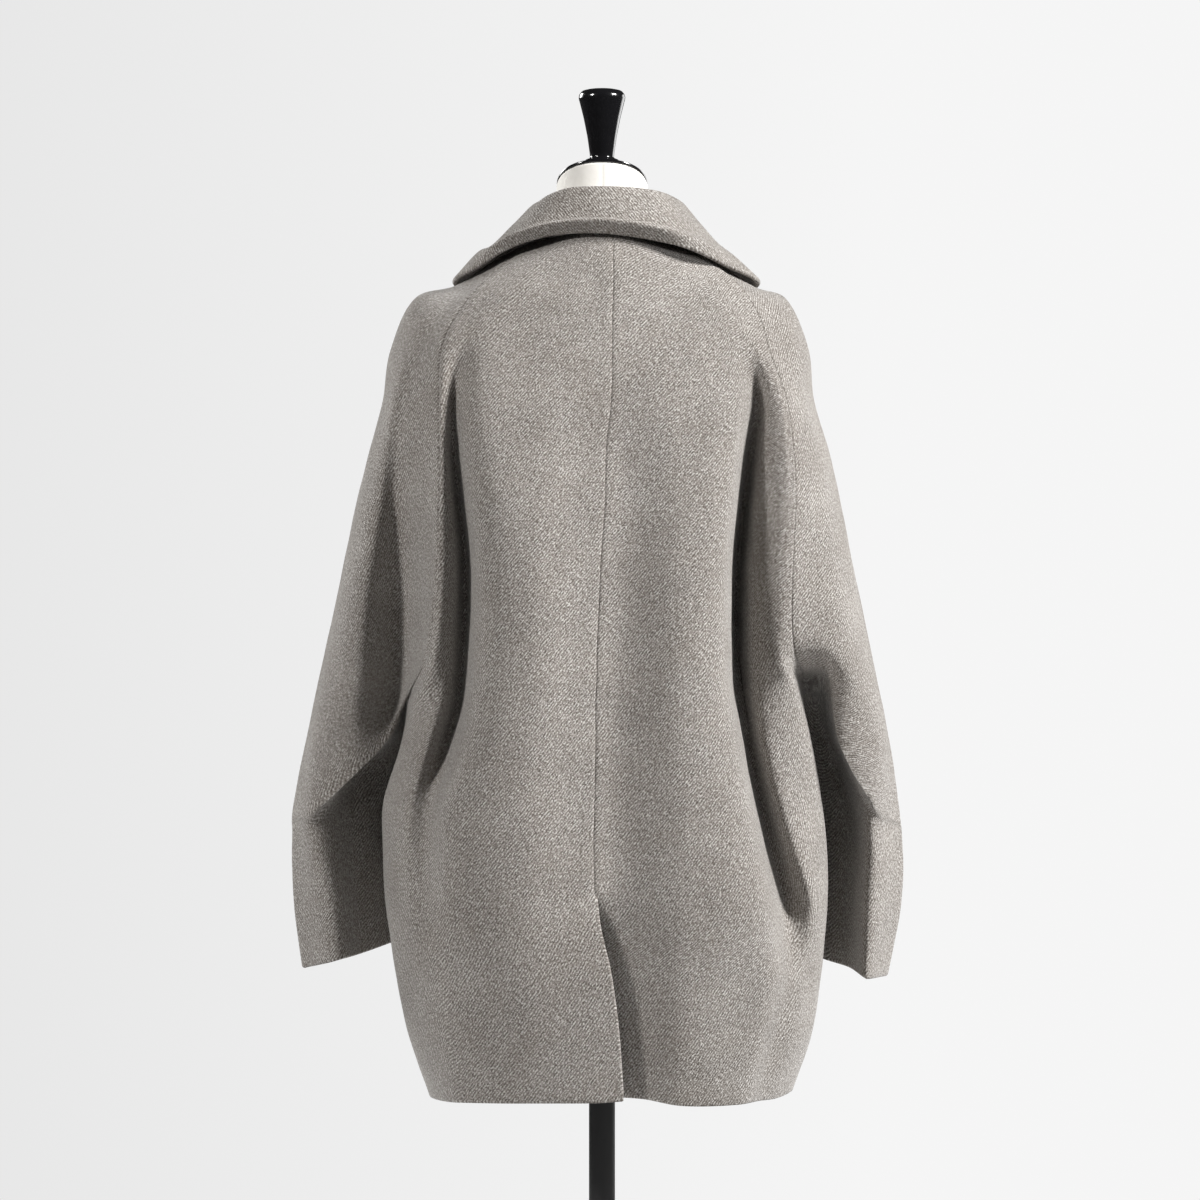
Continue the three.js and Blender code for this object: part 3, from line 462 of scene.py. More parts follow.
# Rows are sections from the neck seam to the hem. Columns: height at the centre, height at the seam,
# then x, y on the centre line, close beside it, the soft roll, the flank, the valley, the ridge, the
# widest edge and the seam: raglan down to the underarm row and side seam below it. A third number is
# the height of that place where it lies off the line between the two.
BACK_LEFT = [
    [1401, 1395, [-12, 58], [-4, 58], [12, 58], [31, 52], [42, 44], [50, 37], [56, 31], [60, 26]],
    [1380, 1375, [-11, 71], [0, 71], [22, 69], [49, 63], [65, 56], [77, 50], [85, 45], [91, 40]],
    [1346, 1347, [-11, 86], [4, 85], [33, 84], [74, 78], [95, 71], [106, 65], [115, 60], [121, 56]],
    [1312, 1312, [-10, 100], [8, 99], [47, 97], [96, 90], [120, 84], [132, 78], [141, 73], [147, 69]],
    [1281, 1283, [-10, 109], [10, 109], [57, 108], [113, 99], [137, 87], [147, 86], [153, 84], [158, 80]],
    [1232, 1233, [-9, 120], [12, 121], [64, 124], [125, 112], [146, 86], [153, 96], [157, 97], [160, 94]],
    [1183, 1184, [-4, 129], [17, 131], [70, 136], [124, 123], [146, 80], [152, 100], [156, 105], [159, 104]],
    [1134, 1135, [-3, 137], [19, 140], [68, 147], [120, 131], [141, 73], [149, 101], [155, 110], [159, 110]],
    [1076, 1076, [1, 145], [22, 149], [68, 157], [115, 139], [135, 66], [145, 100], [154, 113], [161, 113]],
    [1027, 1027, [3, 149], [24, 154], [68, 163], [114, 143], [135, 65], [146, 98], [157, 111], [165, 107]],
    [983, 980, [5, 152], [26, 157], [69, 167], [116, 147], [137, 66], [150, 96], [163, 106], [173, 94]],
    [961, 955, [5, 154], [26, 159], [70, 169], [118, 148], [139, 63], [154, 96], [170, 98], [185, 66]],
    [942, 937, [6, 155], [27, 160], [72, 170], [121, 149], [141, 64], [157, 98], [180, 86], [195, 18]],
    [892, 887, [6, 157], [28, 162], [76, 171], [129, 151], [155, 80], [173, 101], [198, 60], [199, -18]],
    [844, 836, [7, 158], [29, 162], [80, 172], [145, 150], [170, 100], [187, 103], [216, 48], [204, -22]],
    [796, 786, [8, 158], [30, 162], [81, 171], [147, 149], [173, 109], [191, 103], [217, 46], [205, -24]],
    [753, 740, [7, 158], [29, 161], [81, 168], [147, 147], [172, 116], [190, 102], [215, 45], [204, -24]],
    [719, 705, [3, 162], [27, 163], [81, 165], [145, 143], [169, 119], [187, 99], [210, 44], [200, -24]],
    [680, 665, [-6, 163], [18, 163], [80, 160], [141, 139], [165, 119], [183, 95], [204, 42], [195, -24]],
    [622, 605, [-14, 157], [10, 157], [77, 151], [136, 130], [155, 115], [174, 88], [192, 38], [184, -22]],
    [553, 544, [-19, 144], [5, 145], [72, 138], [127, 120], [144, 105], [158, 80], [171, 34], [165, -20]],
]
BACK_RIGHT = [
    [1401, 1395, [12, 58], [17, 57], [26, 55], [36, 49], [44, 43], [51, 36], [56, 31], [60, 26]],
    [1380, 1377, [11, 71], [19, 70], [37, 67], [59, 60], [72, 53], [83, 48], [91, 44], [97, 40]],
    [1346, 1353, [11, 86], [23, 85], [49, 81], [83, 75], [102, 69], [114, 64], [124, 58], [131, 54]],
    [1312, 1320, [10, 100], [24, 99], [57, 96], [103, 89], [127, 83], [139, 77], [147, 72], [154, 67]],
    [1281, 1283, [10, 109], [25, 109], [62, 108], [121, 101], [144, 92], [154, 89], [160, 85], [165, 80]],
    [1232, 1233, [9, 120], [27, 121], [70, 124], [131, 114], [152, 83], [164, 98], [174, 100], [181, 96]],
    [1183, 1183, [4, 129], [24, 129], [76, 137], [126, 127], [146, 70], [159, 101], [177, 110], [187, 107]],
    [1134, 1134, [3, 137], [24, 136], [78, 148], [121, 137], [140, 58], [153, 99], [175, 115], [189, 113]],
    [1076, 1076, [-1, 145], [21, 144], [79, 159], [116, 146], [134, 50], [148, 95], [172, 116], [186, 115]],
    [1027, 1027, [-3, 149], [20, 148], [79, 165], [115, 151], [132, 44], [147, 93], [172, 113], [185, 111]],
    [983, 989, [-5, 152], [19, 151], [79, 169], [115, 154], [133, 44], [147, 91], [172, 109], [188, 101]],
    [961, 971, [-5, 154], [19, 153], [79, 170], [115, 155], [134, 44], [149, 90], [176, 104], [195, 74]],
    [942, 958, [-6, 155], [18, 154], [79, 171], [116, 156], [135, 46], [152, 90], [184, 92], [201, 22]],
    [892, 887, [-6, 157], [18, 156], [80, 173], [126, 157], [146, 54], [163, 89], [206, 62], [203, -14]],
    [844, 836, [-7, 158], [17, 157], [82, 174], [135, 156], [156, 54], [175, 90], [217, 48], [206, -22]],
    [796, 786, [-8, 158], [16, 157], [83, 173], [145, 153], [168, 60], [190, 88], [222, 46], [210, -24]],
    [753, 740, [-7, 158], [17, 156], [84, 170], [154, 148], [180, 66], [204, 84], [223, 45], [211, -24]],
    [719, 705, [-4, 145], [21, 150], [84, 166], [158, 142], [184, 82], [205, 78], [221, 44], [209, -24]],
    [679, 665, [-18, 137], [26, 146], [83, 160], [158, 134], [185, 97], [202, 75], [217, 42], [206, -24]],
    [620, 605, [-15, 129], [31, 139], [79, 151], [148, 123], [170, 100], [192, 80], [208, 38], [199, -22]],
    [555, 547, [-12, 117], [37, 128], [76, 137, 548], [134, 116, 547], [154, 94, 548], [171, 73, 548],
     [189, 34, 551], [182, -20]],
]

ROWS = np.round(np.arange(0, 20.01, 0.1), 2)
EDGE_STEPS = np.array([0, 0.008, 0.018, 0.03, 0.045, 0.065, 0.09, 0.125, 0.17])


def columns_for(count, step=0.08):
    """Places across a piece with `count` lines, close together beside both seams."""
    end = count - 1
    inner = np.arange(0.24, end - 0.2, step)
    return np.concatenate([EDGE_STEPS, inner, (end - EDGE_STEPS)[::-1]])


def surface(table, rows, columns, corners):
    """The smooth surface through a table of points; corners gives lines with a turn at one row."""
    table = np.asarray(table, float)
    lines = []
    for column in range(table.shape[1]):
        line = table[:, column]
        corner = corners.get(column)
        if corner is None:
            lines.append(smooth_line(line, rows))
        else:
            upper = smooth_line(line[:corner + 1], rows[rows <= corner])
            lower = smooth_line(line[corner:], rows[rows > corner] - corner)
            lines.append(np.concatenate([upper, lower]))
    return np.swapaxes(smooth_line(np.array(lines), columns), 0, 1)


def off_form(points):
    """Cloth that would lie in the form is moved out to its face."""
    top = (FORM_RINGS[-1][0] + 15, *NECK)
    rings = np.vstack([FORM_RINGS, top])
    half, back, front = (np.interp(points[..., 2] - EASE, rings[:, 0], rings[:, k]) for k in (1, 2, 3))
    x, y = points[..., 0], points[..., 1]
    deep = np.where(y > 0, back, front) + EASE
    size = (np.abs(x) / (half + EASE)) ** FORM_ROUND + (np.abs(y) / deep) ** FORM_ROUND
    grow = np.where(size < 1, np.maximum(size, 1e-6) ** (-1 / FORM_ROUND), 1)
    return np.stack([x * grow, y * grow, points[..., 2]], -1)


def facing(grid, flip):
    out = np.cross(np.gradient(grid, axis=0), np.gradient(grid, axis=1))
    out /= np.maximum(np.linalg.norm(out, axis=2, keepdims=True), 1e-9)
    return -out if flip else out


def run(grid, axis):
    """Length of cloth from the first point to each point along rows or columns."""
    step = np.linalg.norm(np.diff(grid, axis=axis), axis=2)
    return np.insert(step.cumsum(axis=axis), 0, 0, axis=axis)


panels = {}


def lay(name, table, rows, columns, corners, side, free):
    """Keeps a piece's surface, its faces' direction, and which of its edges aren't sewn."""
    table = np.array(table, float)
    if side == "right":
        table = table * (-1, 1, 1)
    flip = (side == "right") == name.startswith(("front", "sleeve_front"))
    grid = off_form(surface(table, rows, columns, corners))
    wide, long = run(grid, 1), run(grid, 0)
    if name.startswith("sleeve"):
        # Under the elbow fold only the drop counts, so that the ribs aren't stretched there.
        under = (rows > UNDERARM_ROW) & (rows <= UNDERARM_ROW + 1)
        fall = np.abs(np.diff(grid[..., 2], axis=0, prepend=grid[:1, :, 2]))
        length = np.diff(long, axis=0, prepend=0)
        long = np.where(under[:, None], fall, length).cumsum(axis=0)
    uv = np.stack([wide * (-1 if flip else 1), long[GRAIN_ROW] - long], -1) * MM
    panels[name] = {"grid": grid, "out": facing(grid, flip), "flip": flip, "free": free, "uv": uv,
                    "rows": rows, "columns": columns}


def back_points(rows):
    return [
        [(x, y, own[0] if own else centre + (seam - centre) * i / (len(line) - 1))
         for i, (x, y, *own) in enumerate(line)]
        for centre, seam, *line in rows
    ]


body = {"left": back_points(BACK_LEFT), "right": back_points(BACK_RIGHT)}
vent = (ROWS > VENT_ROW).astype(float)
for side, table in body.items():
    lay(f"back_{side}", table, ROWS, columns_for(8), {0: VENT_ROW, 7: UNDERARM_ROW}, side,
        {"top": 0, "bottom": 1, "first": vent, "last": 0})

# ---- Fronts ----
# Each front is cut from the wool past the middle for the double-breasted lap, the right over the
# left, and is sewn to the back at the side.
WRAP = 5.4
WRAP_ROW = 3
WRAP_COLUMNS = 3
SEAM_COLUMN = 4

# Columns: height at the front edge, then x, y on the front edge, the centre front, the chest, the
# flank and the seam. From the underarm down the seam is the back's own.
FRONT = [
    [1392, [44, -42], [48, -39], [52, -35], [55, -31], [58, -26]],
    [1368, [42, -64], [54, -60], [68, -53], [81, -43], [92, -31]],
    [1340, [36, -88], [55, -82], [78, -72], [101, -57], [121, -38]],
    [1308, [24, -110], [52, -106], [86, -94], [120, -74], [147, -46]],
    [1278, [8, -127], [46, -124], [90, -112], [130, -88], [158, -56]],
    [1232, [-22, -150], [34, -148], [88, -134], [134, -106], [163, -66]],
    [1186, [-56, -158], [14, -165], [82, -152], [136, -116], [167, -70]],
    [1134, [-75, -166], [0, -177], [78, -164], [138, -122], [170, -70]],
    [1076, [-75, -173], [0, -185], [76, -172], [140, -126], [173, -66]],
    [1027, [-75, -177], [0, -189], [76, -176], [142, -128], [177, -58]],
    [983, [-75, -179], [0, -191], [76, -178], [146, -130], [184, -42]],
    [961, [-75, -179], [0, -191], [76, -178], [149, -130], [190, -16]],
    [942, [-75, -179], [0, -191], [77, -178], [152, -131]],
    [890, [-75, -179], [0, -191], [78, -178], [158, -132]],
    [840, [-75, -178], [0, -190], [79, -177], [160, -132]],
    [790, [-75, -176], [0, -188], [79, -175], [161, -130]],
    [745, [-75, -173], [0, -185], [79, -172], [160, -127]],
    [711, [-75, -170], [0, -182], [79, -169], [158, -124]],
    [671, [-75, -166], [0, -178], [79, -165], [155, -119]],
    [612, [-75, -159], [0, -171], [79, -158], [150, -111]],
    [540, [-75, -147], [0, -159], [79, -146], [142, -99]],
]


def front_points(back, lift):
    """Sections of a front whose lap is moved out by lift, joined to the back's seam."""
    table = []
    for i, ((edge, *line), section) in enumerate(zip(FRONT, back)):
        seam = section[-1]
        points = []
        for j, (x, y) in enumerate(line):
            out = lift if i > WRAP_ROW and j < WRAP_COLUMNS else 0
            points.append((x, y - out, edge + (seam[2] - edge) * j / SEAM_COLUMN))
        table.append(points if i < UNDERARM_ROW else [*points, seam])
    return table


fronts = {"left": front_points(body["left"], 0), "right": front_points(body["right"], WRAP)}
for side, table in fronts.items():
    lay(f"front_{side}", table, ROWS, columns_for(5), {4: UNDERARM_ROW}, side,
        {"top": 0, "bottom": 1, "first": 1, "last": 0})

# ---- Sleeves ----
# Raglan sleeves of the wool in two pieces each, sewn to the body along the raglan seam, and to each
# other under the arm and along the overarm from the neck to the cuff.

# Columns are x, y, z on the seam under the arm, the fold, the middle, the outer face and the overarm
# seam. Down to the underarm row the first place is the body's own seam, and a front's rows leave out
# the seams that it shares with the back half.
SLEEVE_BACK_LEFT = [
    [[63, 19, 1395], [65, 12, 1395], [66, 6, 1396], [67, 0, 1396]],
    [[96, 31, 1376], [100, 20, 1377], [103, 10, 1378], [105, 0, 1378]],
    [[130, 44, 1346], [138, 30, 1348], [144, 14, 1350], [148, 0, 1351]],
    [[162, 54, 1317], [174, 38, 1327], [182, 18, 1337], [186, -2, 1340]],
    [[178, 62, 1283], [194, 48, 1285], [207, 22, 1287], [212, -5, 1287]],
    [[196, 62, 1233], [206, 55, 1235], [216, 28, 1236], [220, -8, 1237]],
    [[202, 60, 1184], [213, 58, 1186], [227, 32, 1187], [233, -8, 1187]],
    [[204, 52, 1134], [220, 61, 1133], [239, 35, 1131], [247, -9, 1130]],
    [[203, 40, 1075], [230, 62, 1072], [252, 35, 1068], [261, -10, 1065]],
    [[203, 29, 1024], [237, 61, 1014], [265, 35, 995], [278, -10, 985]],
    [[203, 24, 970], [242, 61, 955], [276, 34, 940], [290, -10, 930]],
    [[206, 26, 934], [246, 58, 915], [285, 34, 885], [301, -8, 875]],
    [[213, 37, 899], [243, 56, 866], [288, 39, 825], [311, -8, 818]],
    [[196, -37, 914], [211, -33, 889], [244, -24, 868], [286, 31, 813], [311, -8, 806]],
    [[201, -64, 850], [217, -36, 842], [250, -6, 815], [281, 32, 786], [311, -10, 768]],
    [[203, -66, 775], [217, -32, 764], [245, 1, 749], [270, 33, 735], [308, -12, 726]],
    [[198, -64, 698], [212, -32, 694], [240, 2, 686], [264, 31, 681], [301, -14, 670]],
]
SLEEVE_BACK_RIGHT = [
    [[63, 19, 1395], [65, 12, 1395], [66, 6, 1396], [67, 0, 1396]],
    [[101, 31, 1377], [104, 20, 1378], [106, 10, 1379], [107, 0, 1379]],
    [[138, 42, 1349], [145, 29, 1349], [151, 14, 1349], [155, 0, 1348]],
    [[164, 53, 1325], [174, 38, 1331], [180, 18, 1337], [183, -2, 1340]],
    [[178, 66, 1284], [192, 50, 1286], [203, 24, 1287], [207, -4, 1287]],
    [[190, 82, 1234], [200, 62, 1235], [208, 30, 1236], [212, -6, 1237]],
    [[199, 94, 1184], [212, 72, 1185], [223, 34, 1187], [227, -8, 1187]],
    [[204, 100, 1134], [220, 80, 1133], [234, 40, 1131], [240, -9, 1130]],
    [[204, 103, 1075], [226, 86, 1072], [246, 46, 1068], [253, -10, 1065]],
    [[208, 102, 1022], [237, 86, 1012], [261, 44, 995], [270, -10, 985]],
    [[214, 96, 989], [244, 82, 968], [272, 42, 945], [281, -10, 932]],
    [[216, 80, 974], [244, 72, 935], [278, 40, 895], [291, -9, 880]],
    [[219, 55, 959], [237, 64, 889], [268, 44, 836], [300, -8, 812]],
    [[202, -34, 931], [213, -34, 924], [234, -32, 886], [267, 35, 824], [301, -8, 802]],
    [[207, -62, 856], [222, -44, 846], [248, -24, 820], [268, 33, 786], [302, -10, 766]],
    [[210, -66, 776], [224, -44, 766], [247, -20, 750], [265, 33, 734], [299, -12, 726]],
    [[206, -62, 684], [220, -42, 678], [246, -16, 671], [262, 30, 663], [287, -14, 662]],
]
SLEEVE_FRONT_LEFT = [
    [[60, -20, 1393], [63, -14, 1394], [65, -9, 1395]],
    [[97, -23, 1374], [101, -16, 1376], [104, -8, 1377]],
    [[131, -30, 1346], [139, -22, 1348], [145, -12, 1350]],
    [[163, -39, 1318], [175, -30, 1328], [183, -18, 1337]],
    [[181, -53, 1285], [198, -44, 1286], [208, -26, 1287]],
    [[187, -65, 1234], [205, -56, 1235], [217, -34, 1236]],
    [[194, -72, 1185], [215, -62, 1186], [229, -38, 1187]],
    [[200, -77, 1134], [225, -68, 1133], [241, -42, 1131]],
    [[206, -80, 1074], [236, -72, 1071], [255, -46, 1068]],
    [[212, -80, 1020], [246, -76, 1008], [269, -50, 995]],
    [[218, -80, 968], [256, -80, 956], [282, -54, 943]],
    [[222, -74, 935], [262, -84, 912], [292, -58, 890]],
    [[224, -66, 905], [268, -90, 865], [302, -62, 835]],
    [[222, -84, 893], [268, -94, 855], [303, -64, 824]],
    [[228, -98, 835], [272, -100, 805], [304, -66, 782]],
    [[228, -98, 765], [270, -98, 750], [301, -64, 736]],
    [[218, -96, 692], [264, -95, 682], [295, -62, 674]],
]
SLEEVE_FRONT_RIGHT = [
    [[60, -20, 1393], [63, -14, 1394], [65, -9, 1395]],
    [[98, -23, 1375], [103, -16, 1377], [106, -8, 1378]],
    [[137, -30, 1346], [145, -22, 1348], [151, -12, 1348]],
    [[163, -39, 1320], [174, -30, 1330], [181, -18, 1338]],
    [[177, -53, 1285], [193, -44, 1286], [203, -26, 1287]],
    [[184, -65, 1234], [199, -56, 1235], [209, -34, 1236]],
    [[190, -72, 1185], [210, -62, 1186], [223, -38, 1187]],
    [[197, -77, 1134], [220, -68, 1133], [235, -42, 1131]],
    [[203, -80, 1074], [230, -72, 1071], [248, -46, 1068]],
    [[209, -80, 1020], [240, -76, 1008], [262, -50, 995]],
    [[216, -80, 970], [248, -80, 958], [273, -54, 945]],
    [[222, -74, 942], [253, -84, 918], [282, -58, 895]],
    [[226, -66, 915], [259, -90, 866], [291, -62, 830]],
    [[226, -84, 905], [260, -94, 857], [292, -64, 820]],
    [[230, -98, 840], [264, -100, 808], [294, -66, 782]],
    [[230, -98, 768], [262, -98, 752], [292, -64, 736]],
    [[216, -94, 680], [254, -95, 674], [282, -62, 666]],
]

SLEEVE_ROWS = ROWS[ROWS <= 16]


def sleeve_points(rows, raglan, under=(), overarm=()):
    """Sections of half a sleeve, with the seams that it shares with the body and the other half."""
    table = []
    for i, row in enumerate(rows):
        seam = [raglan[i][-1]] if i <= UNDERARM_ROW else under[i:i + 1]
        table.append([*seam, *row, *overarm[i:i + 1]])
    return table


for side, back_rows, front_rows in (
    ("left", SLEEVE_BACK_LEFT, SLEEVE_FRONT_LEFT),
    ("right", SLEEVE_BACK_RIGHT, SLEEVE_FRONT_RIGHT),
):
    under = [row[0] for row in back_rows]
    overarm = [row[-1] for row in back_rows]
    back_half = sleeve_points(back_rows, body[side])
    front_half = sleeve_points(front_rows, fronts[side], under, overarm)
    loose = {"top": 0, "bottom": 1, "first": 0, "last": 0}
    folds = {column: UNDERARM_ROW for column in (0, 1, 2)}
    lay(f"sleeve_back_{side}", back_half, SLEEVE_ROWS, columns_for(5), folds, side, loose)
    lay(f"sleeve_front_{side}", front_half, SLEEVE_ROWS, columns_for(5), {0: UNDERARM_ROW}, side, loose)

# ---- Sewing up ----
# The pieces meet in pressed open seams, which draw the cloth in a little, and hems, vent and front
# edges are turned in, so they are thicker and round. The whole face is a little uneven.
CLOTH = 2.6
TURNING = 38
TURNING_FADE = 12
TURNED_CLOTH = 5.0
SEAM_DEEP = 1.0
SEAM_WIDE = 0.9
SEAM_RAISE = 0.35
RAISE_AWAY = 6
RAISE_WIDE = 4
UNEVEN = ((0.9, 0.012), (0.45, 0.035))


def border(rows, columns):
    """Row and column numbers once round the edge of a piece."""
    top = [(0, j) for j in range(columns)]
    last = [(i, columns - 1) for i in range(1, rows)]
    bottom = [(rows - 1, j) for j in range(columns - 2, -1, -1)]
    first = [(i, 0) for i in range(rows - 2, 0, -1)]
    return np.array(top + last + bottom + first).T


def outward(grid):
    """Unit steps off the edge of the cloth, in its own surface, for all points of the border."""
    step = np.zeros_like(grid)

    def add(target, edge, inside):
        away = edge - inside
        target += away / np.maximum(np.linalg.norm(away, axis=-1, keepdims=True), 1e-9)

    add(step[0], grid[0], grid[2])
    add(step[-1], grid[-1], grid[-3])
    add(step[:, 0], grid[:, 0], grid[:, 2])
    add(step[:, -1], grid[:, -1], grid[:, -3])
    return step / np.maximum(np.linalg.norm(step, axis=-1, keepdims=True), 1e-9)


def smoothstep(x):
    x = np.clip(x, 0, 1)
    return x * x * (3 - 2 * x)


def edge_flags(shape, free):
    """1 where the border isn't sewn, 0 where it is."""
    flags = np.zeros(shape)
    flags[0] = np.maximum(flags[0], free["top"])
    flags[-1] = np.maximum(flags[-1], free["bottom"])
    flags[:, 0] = np.maximum(flags[:, 0], free["first"])
    flags[:, -1] = np.maximum(flags[:, -1], free["last"])
    return flags


def reach(grid, free):
    """Distance of each point to the nearest sewn edge and to the nearest loose edge, in mm."""
    wide, long = run(grid, 1), run(grid, 0)
    far = 1e3
    gaps = {"top": long, "bottom": long[-1:] - long, "first": wide, "last": wide[:, -1:] - wide}
    sewn = np.full(grid.shape[:2], far)
    loose = sewn.copy()
    for edge, gap in gaps.items():
        share = np.broadcast_to(np.asarray(free[edge], float).reshape(-1, 1), gap.shape)
        loose = np.minimum(loose, np.where(share > 0.5, gap, far))
        if edge != "top":
            sewn = np.minimum(sewn, np.where(share > 0.5, far, gap))
    return sewn, loose


def wall(name, grid, out, flip, free, uv, cloth=CLOTH, edge_cloth=TURNED_CLOTH, turning=TURNING, parts=6):
    """Closed cloth: outer face, inner face, and an edge that is round where it is loose."""
    rows, columns = grid.shape[:2]
    _, loose = reach(grid, free)
    thick = cloth + (edge_cloth - cloth) * smoothstep((turning - loose) / TURNING_FADE)
    inner = grid - out * thick[..., None]
    i, j = border(rows, columns)
    away = outward(grid)[i, j]
    round_off = edge_flags((rows, columns), free)[i, j] * thick[i, j] / 2
    turn = np.arange(1, parts) * math.pi / parts
    rims = [
        grid[i, j] + (inner - grid)[i, j] * (1 - math.cos(a)) / 2 + away * (round_off * math.sin(a))[:, None]
        for a in turn
    ]
    count = rows * columns
    number = np.arange(count).reshape(rows, columns)
    a, b, c, d = number[:-1, :-1], number[1:, :-1], number[1:, 1:], number[:-1, 1:]
    face = np.stack([a, b, c, d], -1).reshape(-1, 4)
    back = face[:, ::-1] + count
    loops = [number[i, j]]
    loops += [2 * count + k * len(i) + np.arange(len(i)) for k in range(parts - 1)]
    loops.append(number[i, j] + count)
    bands = [np.stack([np.roll(p, -1), p, q, np.roll(q, -1)], -1)[:, ::-1] for p, q in zip(loops, loops[1:])]
    faces = np.concatenate([face, back, *bands])
    if flip:
        faces = faces[:, ::-1]
    points = np.concatenate([grid.reshape(-1, 3), inner.reshape(-1, 3), *rims]) * MM
    places = np.concatenate([uv.reshape(-1, 2)] * 2 + [uv[i, j]] * (parts - 1))
    return piece_from(name, points, faces.tolist(), wool.material, places)


def declare_cloth(piece, node, grid):
    """Puts the piece on the root body in place of its node; the widths and lengths that it works out are not
    used.
    """
    wide, long = run(grid, 1), run(grid, 0)
    stands_for(piece, node)


# Soft creases in the fronts and the front halves of the sleeves: both ends of the line, its half
# width, and how far it stands out, or sinks in where that is negative. Past, fade: shares of the line.
CREASE_PAST = 0.25
CREASE_FADE = 0.45
CREASES = [
    ((172, -62, 1142), (62, -180, 1062), 15, 4.5),
    ((176, -52, 1108), (70, -180, 1026), 13, -4.0),
    ((-170, -64, 1128), (-96, -160, 1040), 14, 4.0),
    ((-178, -46, 1090), (-100, -160, 1004), 12, -4.0),
    ((96, -172, 905), (106, -146, 540), 17, 5.0),
    ((124, -152, 930), (134, -118, 560), 13, -4.5),
    ((-112, -164, 880), (-116, -140, 540), 18, 5.5),
    ((-88, -180, 820), (-88, -158, 540), 12, -3.0),
    ((-142, -138, 905), (-144, -108, 590), 13, -5.0),
    ((226, -66, 915), (296, -62, 892), 8, -4.5),
    ((232, -84, 884), (300, -66, 850), 9, 4.5),
    ((236, -92, 842), (296, -80, 862), 8, -3.5),
    ((232, -92, 812), (290, -88, 790), 10, 3.0),
    ((-224, -66, 930), (-286, -58, 900), 8, -4.5),
    ((-228, -84, 896), (-290, -64, 858), 9, 5.0),
    ((-232, -92, 850), (-288, -78, 872), 8, -3.5),
    ((-256, -88, 800), (-262, -88, 700), 11, 3.0),
    ((222, -52, 1150), (262, -40, 1010), 12, 3.5),
    ((-214, -54, 1140), (-258, -38, 1000), 12, 3.5),
    ((250, -60, 800), (268, -78, 700), 11, -3.0),
]


def creased(points):
    """How far each place is pushed out by the creases that run past it."""
    push = np.zeros(points.shape[:-1])
    for start, end, half_width, height in CREASES:
        start, line = np.array(start, float), np.subtract(end, start).astype(float)
        along = ((points - start) @ line) / (line @ line)
        gap = np.linalg.norm(points - start - np.clip(along, 0, 1)[..., None] * line, axis=-1)
        near, far = along + CREASE_PAST, 1 + CREASE_PAST - along
        taper = smoothstep(near / CREASE_FADE) * smoothstep(far / CREASE_FADE)
        push += height * taper * np.exp(-((gap / half_width) ** 2))
    return push


shared = {}
for panel in panels.values():
    for i, j in border(*panel["grid"].shape[:2]).T:
        key = tuple(np.round(panel["grid"][i, j], 2) + 0.0)
        shared.setdefault(key, []).append((panel, i, j))
for users in shared.values():
    mean = sum(panel["out"][i, j] for panel, i, j in users)
    if np.linalg.norm(mean) > 0.3:
        for panel, i, j in users:
            panel["out"][i, j] = mean / np.linalg.norm(mean)

for name, panel in panels.items():
    grid, out = panel["grid"], panel["out"]
    sewn, loose = reach(grid, panel["free"])
    uneven = np.array([
        sum(deep * noise.noise(Vector(p) * often) for deep, often in UNEVEN)
        for p in grid.reshape(-1, 3)
    ]).reshape(sewn.shape)
    raised = SEAM_RAISE * np.exp(-(((sewn - RAISE_AWAY) / RAISE_WIDE) ** 2))
    push = uneven - SEAM_DEEP * np.exp(-((sewn / SEAM_WIDE) ** 2)) + raised
    if "front" in name:
        push = push + creased(grid)
    moved = grid + out * push[..., None]
    piece = wall(f"wool_{name}", moved, out, panel["flip"], panel["free"], panel["uv"])
    declare_cloth(piece, name, grid)
    panel["moved"] = moved

# ---- Collar ----
# The collar is stand and fall in one, two layers of the wool sewn together and folded over at the
# crest. It stands in the neck seam and lies over the back and shoulders.
COLLAR_CLOTH = 3.4
COLLAR_EDGE = 5.2
COLLAR_TURNING = 14

